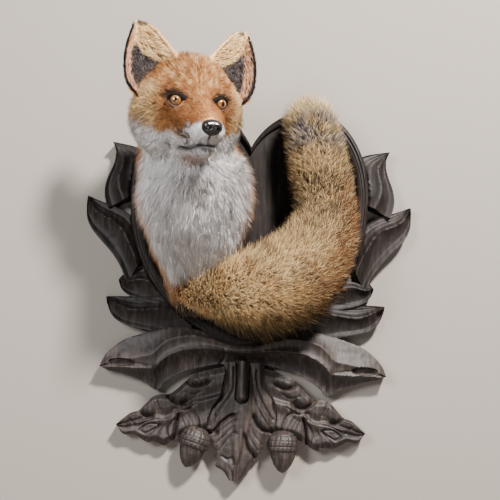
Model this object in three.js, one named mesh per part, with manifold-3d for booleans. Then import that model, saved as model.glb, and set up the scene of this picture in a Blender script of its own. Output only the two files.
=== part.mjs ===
// Mounted red fox: head, neck, chest and brush on a carved wall plaque.
//
// Units are millimetres and +Z is up. The wall is the plane y = 0, and the mount stands
// out from it towards -Y. x = 0 is the centre line of the plaque, and z = 0 is the middle
// of its heart-shaped panel. The fox's own left side faces +X.
//
// The fox is described by signed forms: functions that are negative inside the coat's
// outer surface and grow about as fast as the distance from it. They are blended, turned
// into closed meshes, and parted with thin cuts. The plaque is made of extruded outlines.

import * as THREE from 'three';
import { mergeVertices } from 'three/addons/utils/BufferGeometryUtils.js';
import Module from 'manifold-3d';

const wasm = await Module();
wasm.setup();

// ---------------------------------------------------------------- driving dimensions

const GAP = 0.3;

const plaque = {
  halfWidth: 147,
  lobeTop: 144,
  notch: 95,
  foot: -161,
  fieldFront: 18,
  rimFront: 24,
  rimScale: 0.9,
  leafFront: 28,
};

const headPose = {
  betweenEyes: [-60, -172, 104],
  turn: 18,
  nod: 14,
  tilt: -2,
};

const eye = { x: 24, y: 0, z: 0, radius: 8.5 };

// Where the thin cuts are: behind the skull, under the jaw, in front of the eyes, and across
// the neck.
const cuts = {
  nape: { point: [0, 86, 0], normal: [0, 0.95, -0.3] },
  throat: { point: [0, 30, -65], normal: [0, 0.25, -0.97] },
  muzzle: { point: [0, -10, 0], normal: [0, -1, 0] },
  shoulder: { point: [0, -90, -10], normal: [0, 0.2, -0.98] },
};

// Sections of the neck and chest, from the bottom up: height, middle, half width, and
// how far the front and the rear reach. The rear of the lower ones is beyond the panel.
const neckSections = [
  { z: -120, x: -66, half: 8, front: -52, rear: -6 },
  { z: -106, x: -60, half: 23, front: -74, rear: 2 },
  { z: -86, x: -57, half: 36, front: -100, rear: 8 },
  { z: -60, x: -57, half: 50, front: -132, rear: 14 },
  { z: -34, x: -60, half: 59, front: -152, rear: 18 },
  { z: -10, x: -62, half: 62, front: -160, rear: 18 },
  { z: 18, x: -64, half: 65, front: -160, rear: 18 },
  { z: 43, x: -65, half: 64, front: -154, rear: 16 },
  { z: 67, x: -71, half: 59, front: -146, rear: 8 },
  { z: 98, x: -79, half: 49, front: -132, rear: -20 },
  { z: 126, x: -86, half: 34, front: -118, rear: -50 },
];

// The brush, from its root under the chest to its tip: the middle, and the half width.
const brushStations = [
  { x: -76, y: -66, z: -92, half: 13 },
  { x: -55, y: -86, z: -92, half: 25 },
  { x: -18, y: -100, z: -92, half: 38 },
  { x: 17, y: -98, z: -87, half: 47 },
  { x: 58, y: -82, z: -66, half: 49 },
  { x: 86, y: -62, z: -26, half: 43 },
  { x: 92, y: -52, z: 10, half: 38 },
  { x: 86, y: -50, z: 44, half: 38 },
  { x: 80, y: -49, z: 77, half: 36 },
  { x: 74, y: -48, z: 104, half: 35 },
  { x: 70, y: -46, z: 121, half: 23 },
];
const BRUSH_DEPTH = 0.82;
const brushCuts = [0.27, 0.52, 0.76];

// Cell sizes of the meshes that the forms are turned into.
const HEAD_CELL = 9.8;
const MUZZLE_CELL = 6.5;
const NECK_CELL = 18;
const BRUSH_CELL = 17;

const colours = {
  face: 0xc98d5e,
  bib: 0xbdb3ae,
  brush: 0xb89a70,
  wood: 0x241d1b,
};
const headColours = {
  ear_left: 0x8a6f55,
  ear_right: 0x8a6f55,
  nose: 0x0d0c0c,
  eye_left: 0xa8652a,
  eye_right: 0xa8652a,
};

// ------------------------------------------------------------------- solids and cuts

function solidOf(geometry) {
  const bare = geometry.index ? geometry.toNonIndexed() : geometry.clone();
  bare.deleteAttribute('normal');
  bare.deleteAttribute('uv');
  const merged = mergeVertices(bare, 1e-3);
  return new wasm.Manifold(new wasm.Mesh({
    numProp: 3,
    vertProperties: new Float32Array(merged.attributes.position.array),
    triVerts: new Uint32Array(merged.index.array),
  }));
}

function geometryOf(solid) {
  const mesh = solid.getMesh();
  const geometry = new THREE.BufferGeometry();
  geometry.setAttribute('position', new THREE.BufferAttribute(new Float32Array(mesh.vertProperties), 3));
  geometry.setIndex(Array.from(mesh.triVerts));
  return geometry;
}

// The same solid with every corner moved outwards.
function swollen(solid, by) {
  const geometry = geometryOf(solid);
  geometry.computeVertexNormals();
  const { position, normal } = geometry.attributes;
  const corner = new THREE.Vector3();
  const outwards = new THREE.Vector3();
  for (let i = 0; i < position.count; i += 1) {
    corner.fromBufferAttribute(position, i);
    outwards.fromBufferAttribute(normal, i);
    corner.addScaledVector(outwards, by);
    position.setXYZ(i, corner.x, corner.y, corner.z);
  }
  return solidOf(geometry);
}

// A big block whose near face passes through the point and looks against the normal.
function blockBeyond(point, normal, size = 700) {
  const block = new THREE.BoxGeometry(size, size, size);
  const direction = normal.clone().normalize();
  const turn = new THREE.Quaternion().setFromUnitVectors(new THREE.Vector3(0, 0, 1), direction);
  block.applyQuaternion(turn);
  const middle = point.clone().addScaledVector(direction, size / 2);
  block.translate(middle.x, middle.y, middle.z);
  return solidOf(block);
}

function keepBehind(solid, point, normal) {
  const direction = normal.clone().normalize();
  return solid.subtract(blockBeyond(point.clone().addScaledVector(direction, -GAP / 2), direction));
}

function keepInFront(solid, point, normal) {
  return keepBehind(solid, point, normal.clone().negate());
}

// ------------------------------------------------------------------ blending of forms

const clamp = (value, low, high) => Math.min(Math.max(value, low), high);

function blend(a, b, radius) {
  const overlap = clamp(0.5 + 0.5 * (b - a) / radius, 0, 1);
  return b + (a - b) * overlap - radius * overlap * (1 - overlap);
}

function ellipsoid(p, middle, radii) {
  const q = [0, 1, 2].map((i) => (p[i] - middle[i]) / radii[i]);
  const outer = Math.hypot(...q);
  const inner = Math.hypot(q[0] / radii[0], q[1] / radii[1], q[2] / radii[2]);
  return inner > 0 ? outer * (outer - 1) / inner : -Math.min(...radii);
}

function taper(p, start, end, startRadius, endRadius) {
  const axis = [0, 1, 2].map((i) => end[i] - start[i]);
  const from = [0, 1, 2].map((i) => p[i] - start[i]);
  const along = clamp(
    (from[0] * axis[0] + from[1] * axis[1] + from[2] * axis[2])
      / (axis[0] ** 2 + axis[1] ** 2 + axis[2] ** 2), 0, 1);
  const away = Math.hypot(...[0, 1, 2].map((i) => from[i] - along * axis[i]));
  return away - startRadius - (endRadius - startRadius) * along;
}

// Smooth curve through equally spaced values, at t from 0 to the last index.
function through(values, t) {
  const last = values.length - 1;
  const i = clamp(Math.floor(t), 0, last - 1);
  const f = t - i;
  const [a, b, c, d] = [-1, 0, 1, 2].map((step) => values[clamp(i + step, 0, last)]);
  return b + 0.5 * f * (c - a + f * (2 * a - 5 * b + 4 * c - d + f * (3 * (b - c) + d - a)));
}

// ---------------------------------------------------------------------- the fox's head

const radians = THREE.MathUtils.degToRad;

// Head frame: x to the fox's left, y to the back of the head, z up, zero between the eyes.
const headFrame = new THREE.Matrix4().makeRotationFromEuler(
  new THREE.Euler(radians(headPose.nod), radians(headPose.tilt), radians(headPose.turn), 'ZXY'));
headFrame.setPosition(...headPose.betweenEyes);
const intoHead = headFrame.clone().invert();

function headPoint(x, y, z) {
  return new THREE.Vector3(x, y, z).applyMatrix4(headFrame);
}

function headDirection(x, y, z) {
  return new THREE.Vector3(x, y, z).transformDirection(headFrame);
}

// The skull, cheeks, muzzle and jaw, in the head frame. One side is worked out for both.
function headForm(x, y, z) {
  const p = [Math.abs(x), y, z];
  const skull = ellipsoid(p, [0, 48, 10], [51, 50, 45]);
  const forehead = ellipsoid(p, [0, 18, 2], [30, 27, 27]);
  const brow = ellipsoid(p, [20, 9, 7], [15, 13, 12]);
  const cheek = ellipsoid(p, [33, 47, -14], [34, 41, 43]);
  const bridge = taper(p, [0, 8, -9], [0, -57, -25], 25, 13);
  const side = taper(p, [17, 12, -16], [5.5, -50, -29], 20, 12.5);
  const jaw = taper(p, [0, 12, -40], [0, -46, -47], 24, 11.5);
  const top = blend(blend(skull, forehead, 10), brow, 8);
  const muzzle = blend(bridge, side, 8);
  return blend(blend(blend(top, muzzle, 12), cheek, 14), jaw, 8);
}

function noseForm(x, y, z) {
  const p = [Math.abs(x), y, z];
  const pad = ellipsoid(p, [0, -68, -27], [10.5, 7.5, 9]);
  const wing = ellipsoid(p, [5.5, -68, -26], [5.6, 6.5, 6]);
  return blend(pad, wing, 2);
}

// ------------------------------------------------------------- neck, chest and brush

const neckColumns = Object.fromEntries(
  ['z', 'x', 'half', 'front', 'rear'].map((key) => [key, neckSections.map((section) => section[key])]));

function neckStation(z) {
  const heights = neckColumns.z;
  const last = heights.length - 1;
  let i = 0;
  while (i < last - 1 && heights[i + 1] < z) i += 1;
  return clamp(i + (z - heights[i]) / (heights[i + 1] - heights[i]), 0, last);
}

function neckForm(p) {
  const t = neckStation(p[2]);
  const half = through(neckColumns.half, t);
  const front = through(neckColumns.front, t);
  const rear = through(neckColumns.rear, t);
  const across = (p[0] - through(neckColumns.x, t)) / half;
  const depth = (rear - front) / 2;
  const along = (p[1] - (front + rear) / 2) / depth;
  const side = (Math.hypot(across, along) - 1) * Math.min(half, depth);
  const heights = neckColumns.z;
  return Math.max(side, heights[0] - p[2], p[2] - heights[heights.length - 1]);
}

const brushCurve = new THREE.CatmullRomCurve3(
  brushStations.map((station) => new THREE.Vector3(station.x, station.y, station.z)), false, 'centripetal');
const brushHalf = brushStations.map((station) => station.half);

function brushPoint(t) {
  return brushCurve.getPoint(t);
}

// The brush between two places on its curve, as a form round a run of short tapers. It is
// flatter than it is wide, by the brush's depth.
function brushForm(from, to, steps) {
  const rings = Array.from({ length: steps + 1 }, (_, i) => {
    const t = from + (to - from) * i / steps;
    const middle = brushPoint(t);
    const half = through(brushHalf, t * (brushHalf.length - 1));
    return { at: [middle.x, middle.y / BRUSH_DEPTH, middle.z], half };
  });
  return (p) => {
    const q = [p[0], p[1] / BRUSH_DEPTH, p[2]];
    let nearest = Infinity;
    for (let i = 0; i < steps; i += 1) {
      nearest = Math.min(nearest, taper(q, rings[i].at, rings[i + 1].at, rings[i].half, rings[i + 1].half));
    }
    return nearest * BRUSH_DEPTH;
  };
}

const wholeHead = (p) => {
  const q = new THREE.Vector3(...p).applyMatrix4(intoHead);
  return headForm(q.x, q.y, q.z);
};
const bodyForm = (p) => blend(wholeHead(p), neckForm(p), 22);

// -------------------------------------------------------------- forms turned to meshes

// Closed mesh of the surface where the form equals the level, inside a box of cells: one
// vertex in each cell that the surface crosses, moved onto the surface. A form that runs on
// past the box is closed off in the outermost cells.
function meshOfForm(form, low, high, cell, level = 0) {
  const counts = [0, 1, 2].map((i) => Math.ceil((high[i] - low[i]) / cell) + 1);
  const at = (i, j, k) => [low[0] + i * cell, low[1] + j * cell, low[2] + k * cell];
  const index = (i, j, k) => (k * counts[1] + j) * counts[0] + i;
  const outermost = (place, margin) => (
    place.some((n, axis) => n <= margin || n >= counts[axis] - 1 - margin));
  const values = new Float64Array(counts[0] * counts[1] * counts[2]);
  for (let k = 0; k < counts[2]; k += 1) {
    for (let j = 0; j < counts[1]; j += 1) {
      for (let i = 0; i < counts[0]; i += 1) {
        const value = form(at(i, j, k)) - level;
        values[index(i, j, k)] = outermost([i, j, k], 0) ? Math.max(value, cell / 2) : value;
      }
    }
  }
  const positions = [];
  const vertexOf = new Map();
  for (let k = 0; k < counts[2] - 1; k += 1) {
    for (let j = 0; j < counts[1] - 1; j += 1) {
      for (let i = 0; i < counts[0] - 1; i += 1) {
        const middle = crossingMiddle(values, index, i, j, k);
        if (!middle) continue;
        const corner = at(i, j, k);
        const start = corner.map((value, axis) => value + middle[axis] * cell);
        vertexOf.set(index(i, j, k), positions.length / 3);
        positions.push(...(outermost([i, j, k], 1) ? start : ontoSurface(form, start, level, cell)));
      }
    }
  }
  const triangles = [];
  const steps = [[1, 0, 0], [0, 1, 0], [0, 0, 1]];
  for (let k = 0; k < counts[2] - 1; k += 1) {
    for (let j = 0; j < counts[1] - 1; j += 1) {
      for (let i = 0; i < counts[0] - 1; i += 1) {
        for (let axis = 0; axis < 3; axis += 1) {
          const step = steps[axis];
          const here = values[index(i, j, k)];
          const next = values[index(i + step[0], j + step[1], k + step[2])];
          if ((here < 0) === (next < 0)) continue;
          const u = steps[(axis + 1) % 3];
          const v = steps[(axis + 2) % 3];
          const ring = [[0, 0], [1, 0], [1, 1], [0, 1]].map(([a, b]) => vertexOf.get(
            index(i - a * u[0] - b * v[0], j - a * u[1] - b * v[1], k - a * u[2] - b * v[2])));
          if (here >= 0) ring.reverse();
          triangles.push(...splitQuad(positions, ring));
        }
      }
    }
  }
  const geometry = new THREE.BufferGeometry();
  geometry.setAttribute('position', new THREE.BufferAttribute(new Float32Array(positions), 3));
  geometry.setIndex(triangles);
  return solidOf(geometry);
}

// The mean of the places where the surface crosses the twelve edges of a cell.
function crossingMiddle(values, index, i, j, k) {
  const corner = (c) => values[index(i + (c & 1), j + ((c >> 1) & 1), k + ((c >> 2) & 1))];
  const sum = [0, 0, 0];
  let crossings = 0;
  for (let c = 0; c < 8; c += 1) {
    for (let axis = 0; axis < 3; axis += 1) {
      if (c & (1 << axis)) continue;
      const a = corner(c);
      const b = corner(c | (1 << axis));
      if ((a < 0) === (b < 0)) continue;
      const place = [c & 1, (c >> 1) & 1, (c >> 2) & 1];
      place[axis] = a / (a - b);
      place.forEach((value, n) => { sum[n] += value; });
      crossings += 1;
    }
  }
  return crossings ? sum.map((value) => value / crossings) : null;
}

function ontoSurface(form, start, level, cell) {
  const p = [...start];
  const probe = 0.5;
  for (let round = 0; round < 2; round += 1) {
    const value = form(p) - level;
    const slope = [0, 1, 2].map((i) => {
      const q = [...p];
      q[i] += probe;
      return (form(q) - level - value) / probe;
    });
    const steepness = Math.max(slope[0] ** 2 + slope[1] ** 2 + slope[2] ** 2, 0.2);
    for (let i = 0; i < 3; i += 1) {
      p[i] = clamp(p[i] - value * slope[i] / steepness, start[i] - cell / 2, start[i] + cell / 2);
    }
  }
  return p;
}

// Two triangles for four corners, split along the shorter diagonal.
function splitQuad(positions, ring) {
  const span = (a, b) => Math.hypot(
    positions[3 * a] - positions[3 * b],
    positions[3 * a + 1] - positions[3 * b + 1],
    positions[3 * a + 2] - positions[3 * b + 2]);
  const [a, b, c, d] = ring;
  return span(a, c) < span(b, d) ? [a, b, c, a, c, d] : [b, c, d, b, d, a];
}

// ---------------------------------------------------------------------- fox's pieces

const muzzlePoint = headPoint(...cuts.muzzle.point);
const muzzleNormal = headDirection(...cuts.muzzle.normal);
const shoulderPoint = new THREE.Vector3(...cuts.shoulder.point);
const shoulderNormal = new THREE.Vector3(...cuts.shoulder.normal);
const fieldPoint = new THREE.Vector3(0, -plaque.fieldFront - GAP / 2, 0);
const toWall = new THREE.Vector3(0, 1, 0);

const HEAD_BOX = [[-150, -262, 12], [22, -40, 178]];
const NECK_BOX = [[-150, -190, -60], [30, 24, 160]];
const CHEST_BOX = [[-150, -190, -136], [30, 34, 20]];

// The part of space that holds the head: in front of the nape and above the throat.
function headSpace(grow) {
  const [nape, throat] = [cuts.nape, cuts.throat].map(({ point, normal }) => {
    const outward = headDirection(...normal);
    return blockBeyond(headPoint(...point).addScaledVector(outward, grow), outward.negate());
  });
  return nape.intersect(throat);
}

// Where the lips close, from the corner of the mouth to the chin, as y and z in the head.
const lipLine = [[0, -48], [-28, -49.5], [-52, -46], [-84, -42]];

// Everything in front of the mouth's corner and below the lips, as a slab across the head.
function belowLips(grow) {
  const outline = new THREE.Shape();
  outline.moveTo(20, -48 + grow);
  lipLine.forEach(([y, z]) => outline.lineTo(y, z + grow));
  outline.lineTo(-84, -90);
  outline.lineTo(20, -90);
  const slab = new THREE.ExtrudeGeometry(outline, { depth: 120, bevelEnabled: false });
  slab.translate(0, 0, -60);
  const across = new THREE.Matrix4().makeBasis(
    new THREE.Vector3(0, 1, 0), new THREE.Vector3(0, 0, 1), new THREE.Vector3(1, 0, 0));
  slab.applyMatrix4(across);
  slab.applyMatrix4(headFrame);
  return solidOf(slab);
}

function noseSolid(grow) {
  const form = (p) => {
    const q = new THREE.Vector3(...p).applyMatrix4(intoHead);
    return noseForm(q.x, q.y, q.z);
  };
  const middle = headPoint(0, -68, -27).toArray();
  const reach = 17;
  return meshOfForm(form, middle.map((v) => v - reach), middle.map((v) => v + reach), 3.4, grow);
}

function eyeSolid(side, grow) {
  const ball = new THREE.SphereGeometry(eye.radius + grow, 12, 8);
  ball.applyMatrix4(new THREE.Matrix4().makeRotationX(Math.PI / 2));
  ball.translate(side * eye.x, eye.y, eye.z);
  ball.applyMatrix4(headFrame);
  return solidOf(ball);
}

// An ear is a curved leaf of hide: its two edges and its middle line run from the base to
// the tip, and the leaf is cupped to the back between them. Values are in the head frame.
const ear = {
  thickness: 5.5,
  rows: 7,
  columns: 7,
  inner: [[18, 34, 40], [26, 36, 56], [40, 42, 72], [53, 48, 82]],
  middle: [[44, 60, 12], [54, 60, 34], [60, 56, 60], [60, 50, 82]],
  outer: [[57, 34, 2], [71, 38, 22], [73, 42, 50], [65, 48, 80]],
};

function alongPoints(points, t) {
  return [0, 1, 2].map((i) => through(points.map((point) => point[i]), t * (points.length - 1)));
}

function earSurface(height, across) {
  const inner = alongPoints(ear.inner, height);
  const middle = alongPoints(ear.middle, height);
  const outer = alongPoints(ear.outer, height);
  return [0, 1, 2].map((i) => {
    const bow = 2 * middle[i] - (inner[i] + outer[i]) / 2;
    return (1 - across) ** 2 * inner[i] + 2 * across * (1 - across) * bow + across ** 2 * outer[i];
  });
}

function earSolid(side) {
  const probe = 0.02;
  const sheets = [0, 1].map((sheet) => {
    const points = [];
    for (let row = 0; row <= ear.rows; row += 1) {
      for (let column = 0; column <= ear.columns; column += 1) {
        const height = row / ear.rows;
        const across = column / ear.columns;
        const here = new THREE.Vector3(...earSurface(height, across));
        const up = new THREE.Vector3(...earSurface(height + probe, across)).sub(here);
        const over = new THREE.Vector3(...earSurface(height, across + probe)).sub(here);
        const rearward = over.cross(up).normalize();
        if (rearward.y < 0) rearward.negate();
        const rim = Math.min(1, 0.45 + 2.4 * Math.min(across, 1 - across));
        here.addScaledVector(rearward, sheet * ear.thickness * rim);
        points.push(new THREE.Vector3(side * here.x, here.y, here.z).applyMatrix4(headFrame));
      }
    }
    return points;
  });
  return solidOf(sandwich(sheets[0], sheets[1], ear.rows, ear.columns, side < 0));
}

// Closed mesh between a front and a rear sheet of points with the same rows and columns.
function sandwich(front, rear, rows, columns, flipped) {
  const wide = columns + 1;
  const offset = front.length;
  const faces = [];
  const quad = (a, b, c, d) => faces.push(a, b, c, a, c, d);
  for (let row = 0; row < rows; row += 1) {
    for (let column = 0; column < columns; column += 1) {
      const a = row * wide + column;
      quad(a, a + 1, a + wide + 1, a + wide);
      quad(offset + a, offset + a + wide, offset + a + wide + 1, offset + a + 1);
    }
  }
  const border = [];
  for (let column = 0; column < columns; column += 1) border.push(column);
  for (let row = 0; row < rows; row += 1) border.push(row * wide + columns);
  for (let column = columns; column > 0; column -= 1) border.push(rows * wide + column);
  for (let row = rows; row > 0; row -= 1) border.push(row * wide);
  border.forEach((a, i) => {
    const b = border[(i + 1) % border.length];
    quad(a, offset + a, offset + b, b);
  });
  if (flipped) faces.reverse();
  const geometry = new THREE.BufferGeometry().setFromPoints([...front, ...rear]);
  geometry.setIndex(faces);
  return geometry;
}

function makeHeadPieces() {
  const nose = noseSolid(0);
  const sockets = eyeSolid(-1, GAP).add(eyeSolid(1, GAP));
  const body = meshOfForm(bodyForm, ...HEAD_BOX, HEAD_CELL);
  const face = meshOfForm(bodyForm, ...HEAD_BOX, MUZZLE_CELL);
  const front = keepInFront(face.intersect(headSpace(0)), muzzlePoint, muzzleNormal);
  const snout = front.subtract(noseSolid(GAP));
  const grown = meshOfForm(bodyForm, ...HEAD_BOX, HEAD_CELL, GAP);
  const skull = keepBehind(body.intersect(headSpace(0)), muzzlePoint, muzzleNormal);
  return {
    head: skull.subtract(sockets),
    muzzle: snout.subtract(belowLips(GAP)),
    lower_jaw: snout.intersect(belowLips(0)),
    nose,
    ear_left: earSolid(1).subtract(grown),
    ear_right: earSolid(-1).subtract(grown),
    eye_left: eyeSolid(1, 0),
    eye_right: eyeSolid(-1, 0),
  };
}

function makeNeckPieces(neighbours) {
  const neckBody = meshOfForm(bodyForm, ...NECK_BOX, NECK_CELL);
  const chestBody = meshOfForm(bodyForm, ...CHEST_BOX, NECK_CELL);
  const neck = keepBehind(neckBody.subtract(headSpace(GAP)), shoulderPoint, shoulderNormal);
  const chest = keepInFront(chestBody, shoulderPoint, shoulderNormal).subtract(neighbours);
  return {
    neck: keepBehind(neck, fieldPoint, toWall),
    chest: keepBehind(chest, fieldPoint, toWall),
  };
}

// One length of the brush, meshed a little past both cuts and then trimmed to them.
function brushLength(from, to) {
  const run = 0.09;
  const start = Math.max(from - run, 0);
  const end = Math.min(to + run, 1);
  const form = brushForm(start, end, 12);
  const points = Array.from({ length: 9 }, (_, i) => brushPoint(start + (end - start) * i / 8));
  const reach = 58;
  const low = ['x', 'y', 'z'].map((axis) => Math.min(...points.map((point) => point[axis])) - reach);
  const high = ['x', 'y', 'z'].map((axis) => Math.max(...points.map((point) => point[axis])) + reach);
  let length = meshOfForm(form, low, high, BRUSH_CELL);
  if (from > 0) length = keepInFront(length, brushPoint(from), brushCurve.getTangent(from));
  if (to < 1) length = keepBehind(length, brushPoint(to), brushCurve.getTangent(to));
  return length;
}

function makeBrushPieces(rim) {
  const ends = [0, ...brushCuts, 1];
  const names = ['tail_root', 'tail_middle', 'tail_upper', 'tail_tip'];
  return Object.fromEntries(names.map((name, i) => {
    const length = brushLength(ends[i], ends[i + 1]).subtract(rim);
    return [name, keepBehind(length, fieldPoint, toWall)];
  }));
}

// ------------------------------------------------------------------------- the plaque

// Extrusion of an x-z outline that stands on the wall and reaches out to the front.
function standing(outline, front, bevel = {}, rear = 0) {
  const slope = bevel.slope ?? 0;
  const rise = bevel.rise ?? slope;
  const geometry = new THREE.ExtrudeGeometry(outline, {
    depth: front - rear - rise,
    bevelEnabled: slope > 0,
    bevelThickness: rise,
    bevelSize: slope,
    bevelOffset: -slope,
    bevelSegments: 1,
    curveSegments: bevel.curveSegments ?? 7,
  });
  geometry.applyMatrix4(new THREE.Matrix4().makeRotationX(Math.PI / 2));
  geometry.translate(0, -rear, 0);
  const solid = solidOf(geometry);
  if (slope === 0) return solid;
  return solid.subtract(blockBeyond(new THREE.Vector3(0, -rear, 0), new THREE.Vector3(0, 1, 0)));
}

// Heart-shaped outline of the panel, scaled about its middle.
function panelOutline(scale) {
  const { halfWidth, lobeTop, notch, foot } = plaque;
  const outline = new THREE.Shape();
  const curve = (side, points) => outline.bezierCurveTo(
    ...points.map((value, i) => (i % 2 ? value : side * value) * scale));
  outline.moveTo(0, notch * scale);
  curve(1, [12, notch + 25, 38, lobeTop, 74, lobeTop]);
  curve(1, [114, lobeTop, halfWidth, 96, halfWidth, 36]);
  curve(1, [halfWidth, -70, 90, -124, 0, foot]);
  curve(-1, [90, -124, halfWidth, -70, halfWidth, 36]);
  curve(-1, [halfWidth, 96, 114, lobeTop, 74, lobeTop]);
  curve(-1, [38, lobeTop, 12, notch + 25, 0, notch]);
  return outline;
}

function rimSolid(grow) {
  const spread = grow / 100;
  const outer = standing(panelOutline(1 + spread), plaque.rimFront + grow, { slope: 3 });
  return outer.subtract(standing(panelOutline(plaque.rimScale - spread), plaque.rimFront + 10, {}, -5));
}

// Closed mesh through rings with the same number of points, with flat ends.
function loft(rings) {
  const size = rings[0].length;
  const faces = [];
  rings.slice(1).forEach((ring, i) => {
    for (let n = 0; n < size; n += 1) {
      const a = i * size + n;
      const b = i * size + (n + 1) % size;
      faces.push(a, b, b + size, a, b + size, a + size);
    }
  });
  const end = (rings.length - 1) * size;
  for (let n = 1; n < size - 1; n += 1) {
    faces.push(0, n + 1, n);
    faces.push(end, end + n, end + n + 1);
  }
  const points = rings.flat();
  const geometry = new THREE.BufferGeometry().setFromPoints(points);
  const volume = (list) => list.reduce((sum, _, i) => (
    i % 3 ? sum : sum + points[list[i]].dot(points[list[i + 1]].clone().cross(points[list[i + 2]]))), 0);
  geometry.setIndex(volume(faces) < 0 ? faces.reverse() : faces);
  return solidOf(geometry);
}

// A carved leaf flat on the wall: for each step from base to tip its two margins and its
// crest, as x and z. The margins stand out by edge, and the crest by its own height.
function carvedLeaf(steps, section) {
  return loft(Array.from({ length: steps + 1 }, (_, i) => {
    const { one, other, crest, edge, height } = section(i / steps);
    return [
      new THREE.Vector3(one[0], 0, one[1]),
      new THREE.Vector3(one[0], -edge, one[1]),
      new THREE.Vector3(crest[0], -height, crest[1]),
      new THREE.Vector3(other[0], -edge, other[1]),
      new THREE.Vector3(other[0], 0, other[1]),
    ];
  }));
}

const mix = (a, b, t) => a + (b - a) * t;

function bezier(points, t) {
  const weights = [(1 - t) ** 3, 3 * t * (1 - t) ** 2, 3 * t * t * (1 - t), t ** 3];
  return [0, 1].map((i) => weights.reduce((sum, weight, n) => sum + weight * points[n][i], 0));
}

// The four leaves on one side of the rim, from the top down, as the inner and the outer
// margin from the base to the hooked point. The rim trims their bases.
const borderLeaves = [
  {
    inner: [[116, 40], [118, 92], [140, 90], [172, 97]],
    outer: [[174, 12], [192, 50], [156, 66], [173, 96]],
  },
  {
    inner: [[120, -40], [130, 14], [170, 12], [199, 27]],
    outer: [[146, -80], [166, -22], [208, -28], [200, 26]],
  },
  {
    inner: [[104, -50], [126, -58], [146, -62], [156, -75]],
    outer: [[104, -104], [138, -102], [154, -92], [156, -77]],
  },
  {
    inner: [[70, -84], [108, -100], [140, -95], [170, -97]],
    outer: [[60, -164], [118, -118], [162, -150], [170, -99]],
  },
];

function leafBorder(side) {
  const leaves = borderLeaves.map(({ inner, outer }, n) => carvedLeaf(7, (t) => {
    const one = bezier(inner, t);
    const other = bezier(outer, t);
    const crest = [mix(one[0], other[0], 0.45), mix(one[1], other[1], 0.45)];
    const points = [one, other, crest].map(([x, z]) => [side * x, z]);
    return {
      one: points[0], other: points[1], crest: points[2],
      edge: 15 - n, height: mix(plaque.leafFront - n, 18, t),
    };
  }));
  const clear = 1 + GAP / 100;
  const trim = standing(panelOutline(clear), plaque.leafFront + 10, {}, -5);
  return leaves.reduce((all, leaf) => all.add(leaf)).subtract(trim).subtract(bowSolid(GAP));
}

// The bow-shaped bracket under the panel: two wings that meet in the middle.
const bow = {
  front: 40,
  endFront: 20,
  edge: 22,
  endEdge: 14,
  top: [[0, -150], [48, -136], [112, -110], [171, -181]],
  foot: [[0, -174], [48, -172], [74, -186], [99, -208]],
  tail: [[99, -208], [118, -194], [150, -200], [172, -183]],
  corner: 0.6,
};

function bowSection(side, t, grow) {
  const top = bezier(bow.top, t);
  const low = t < bow.corner
    ? bezier(bow.foot, t / bow.corner)
    : bezier(bow.tail, (t - bow.corner) / (1 - bow.corner));
  return {
    one: [side * top[0], top[1] + grow],
    other: [side * low[0], low[1] - grow],
    crest: [side * mix(top[0], low[0], 0.4), mix(top[1], low[1], 0.4)],
    edge: mix(bow.edge, bow.endEdge, t) + grow,
    height: mix(bow.front, bow.endFront, t) + grow,
  };
}

function bowSolid(grow) {
  const steps = 20;
  return carvedLeaf(2 * steps, (t) => {
    const along = 2 * t - 1;
    return bowSection(along < 0 ? -1 : 1, Math.abs(along), grow);
  });
}

// A lobed leaf along a straight spine, as wide as the half width between its lobes' tips.
function lobedLeaf({ base, tip, one, other, lobes, edge, height, grow = 0 }) {
  const axis = [tip[0] - base[0], tip[1] - base[1]];
  const length = Math.hypot(...axis);
  const across = [-axis[1] / length, axis[0] / length];
  return carvedLeaf(7 * lobes, (t) => {
    const swell = Math.sin(Math.PI * mix(0.16, 0.985, t) ** 0.9);
    const lobe = 0.8 + 0.2 * Math.cos(2 * Math.PI * (lobes * t - 0.55));
    const spread = Math.max(swell * lobe, 0.03);
    const spine = [base[0] + axis[0] * t, base[1] + axis[1] * t];
    const margin = (reach) => [spine[0] + across[0] * reach, spine[1] + across[1] * reach];
    return {
      one: margin(one * spread + grow), other: margin(-other * spread - grow), crest: spine,
      edge: edge + grow, height: mix(height, edge + 3, t) + grow,
    };
  });
}

const sideLeaf = { base: [14, -198], tip: [147, -255], one: 26, other: 37, lobes: 3, edge: 13, height: 26 };
const middleLeaf = { base: [0, -200], tip: [0, -311], one: 33, other: 33, lobes: 3, edge: 16, height: 30 };

function oakLeaf(side) {
  const flip = ([x, z]) => [side * x, z];
  const [one, other] = side > 0 ? [sideLeaf.one, sideLeaf.other] : [sideLeaf.other, sideLeaf.one];
  return lobedLeaf({ ...sideLeaf, base: flip(sideLeaf.base), tip: flip(sideLeaf.tip), one, other });
}

const acorn = { x: 51, radius: 18, top: -250, rimAt: -274, tip: -300, swing: -270, lean: 0.3 };

// Half outline of an acorn turned about its upright axis: cup, rim and pointed nut. The one
// on the fox's right leans outwards.
function acornSolid(side, grow) {
  const { radius, top, rimAt, tip } = acorn;
  const outline = [
    [0, top + grow], [radius * 0.55, top - 2 + grow], [radius * 0.9, top - 10], [radius + grow, rimAt + 6],
    [radius + grow, rimAt], [radius * 0.86 + grow, rimAt - 1], [radius * 0.84 + grow, rimAt - 8],
    [radius * 0.6 + grow, rimAt - 18], [radius * 0.2 + grow, tip + 3], [0, tip - grow],
  ];
  const lathe = new THREE.LatheGeometry(outline.reverse().map(([r, z]) => new THREE.Vector2(r, z)), 12);
  lathe.applyMatrix4(new THREE.Matrix4().makeRotationX(Math.PI / 2));
  if (side < 0) lathe.translate(-4, 0, -acorn.swing).rotateY(acorn.lean).translate(0, 0, acorn.swing);
  lathe.translate(side * acorn.x, -radius - 1, 0);
  return solidOf(lathe);
}

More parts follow.
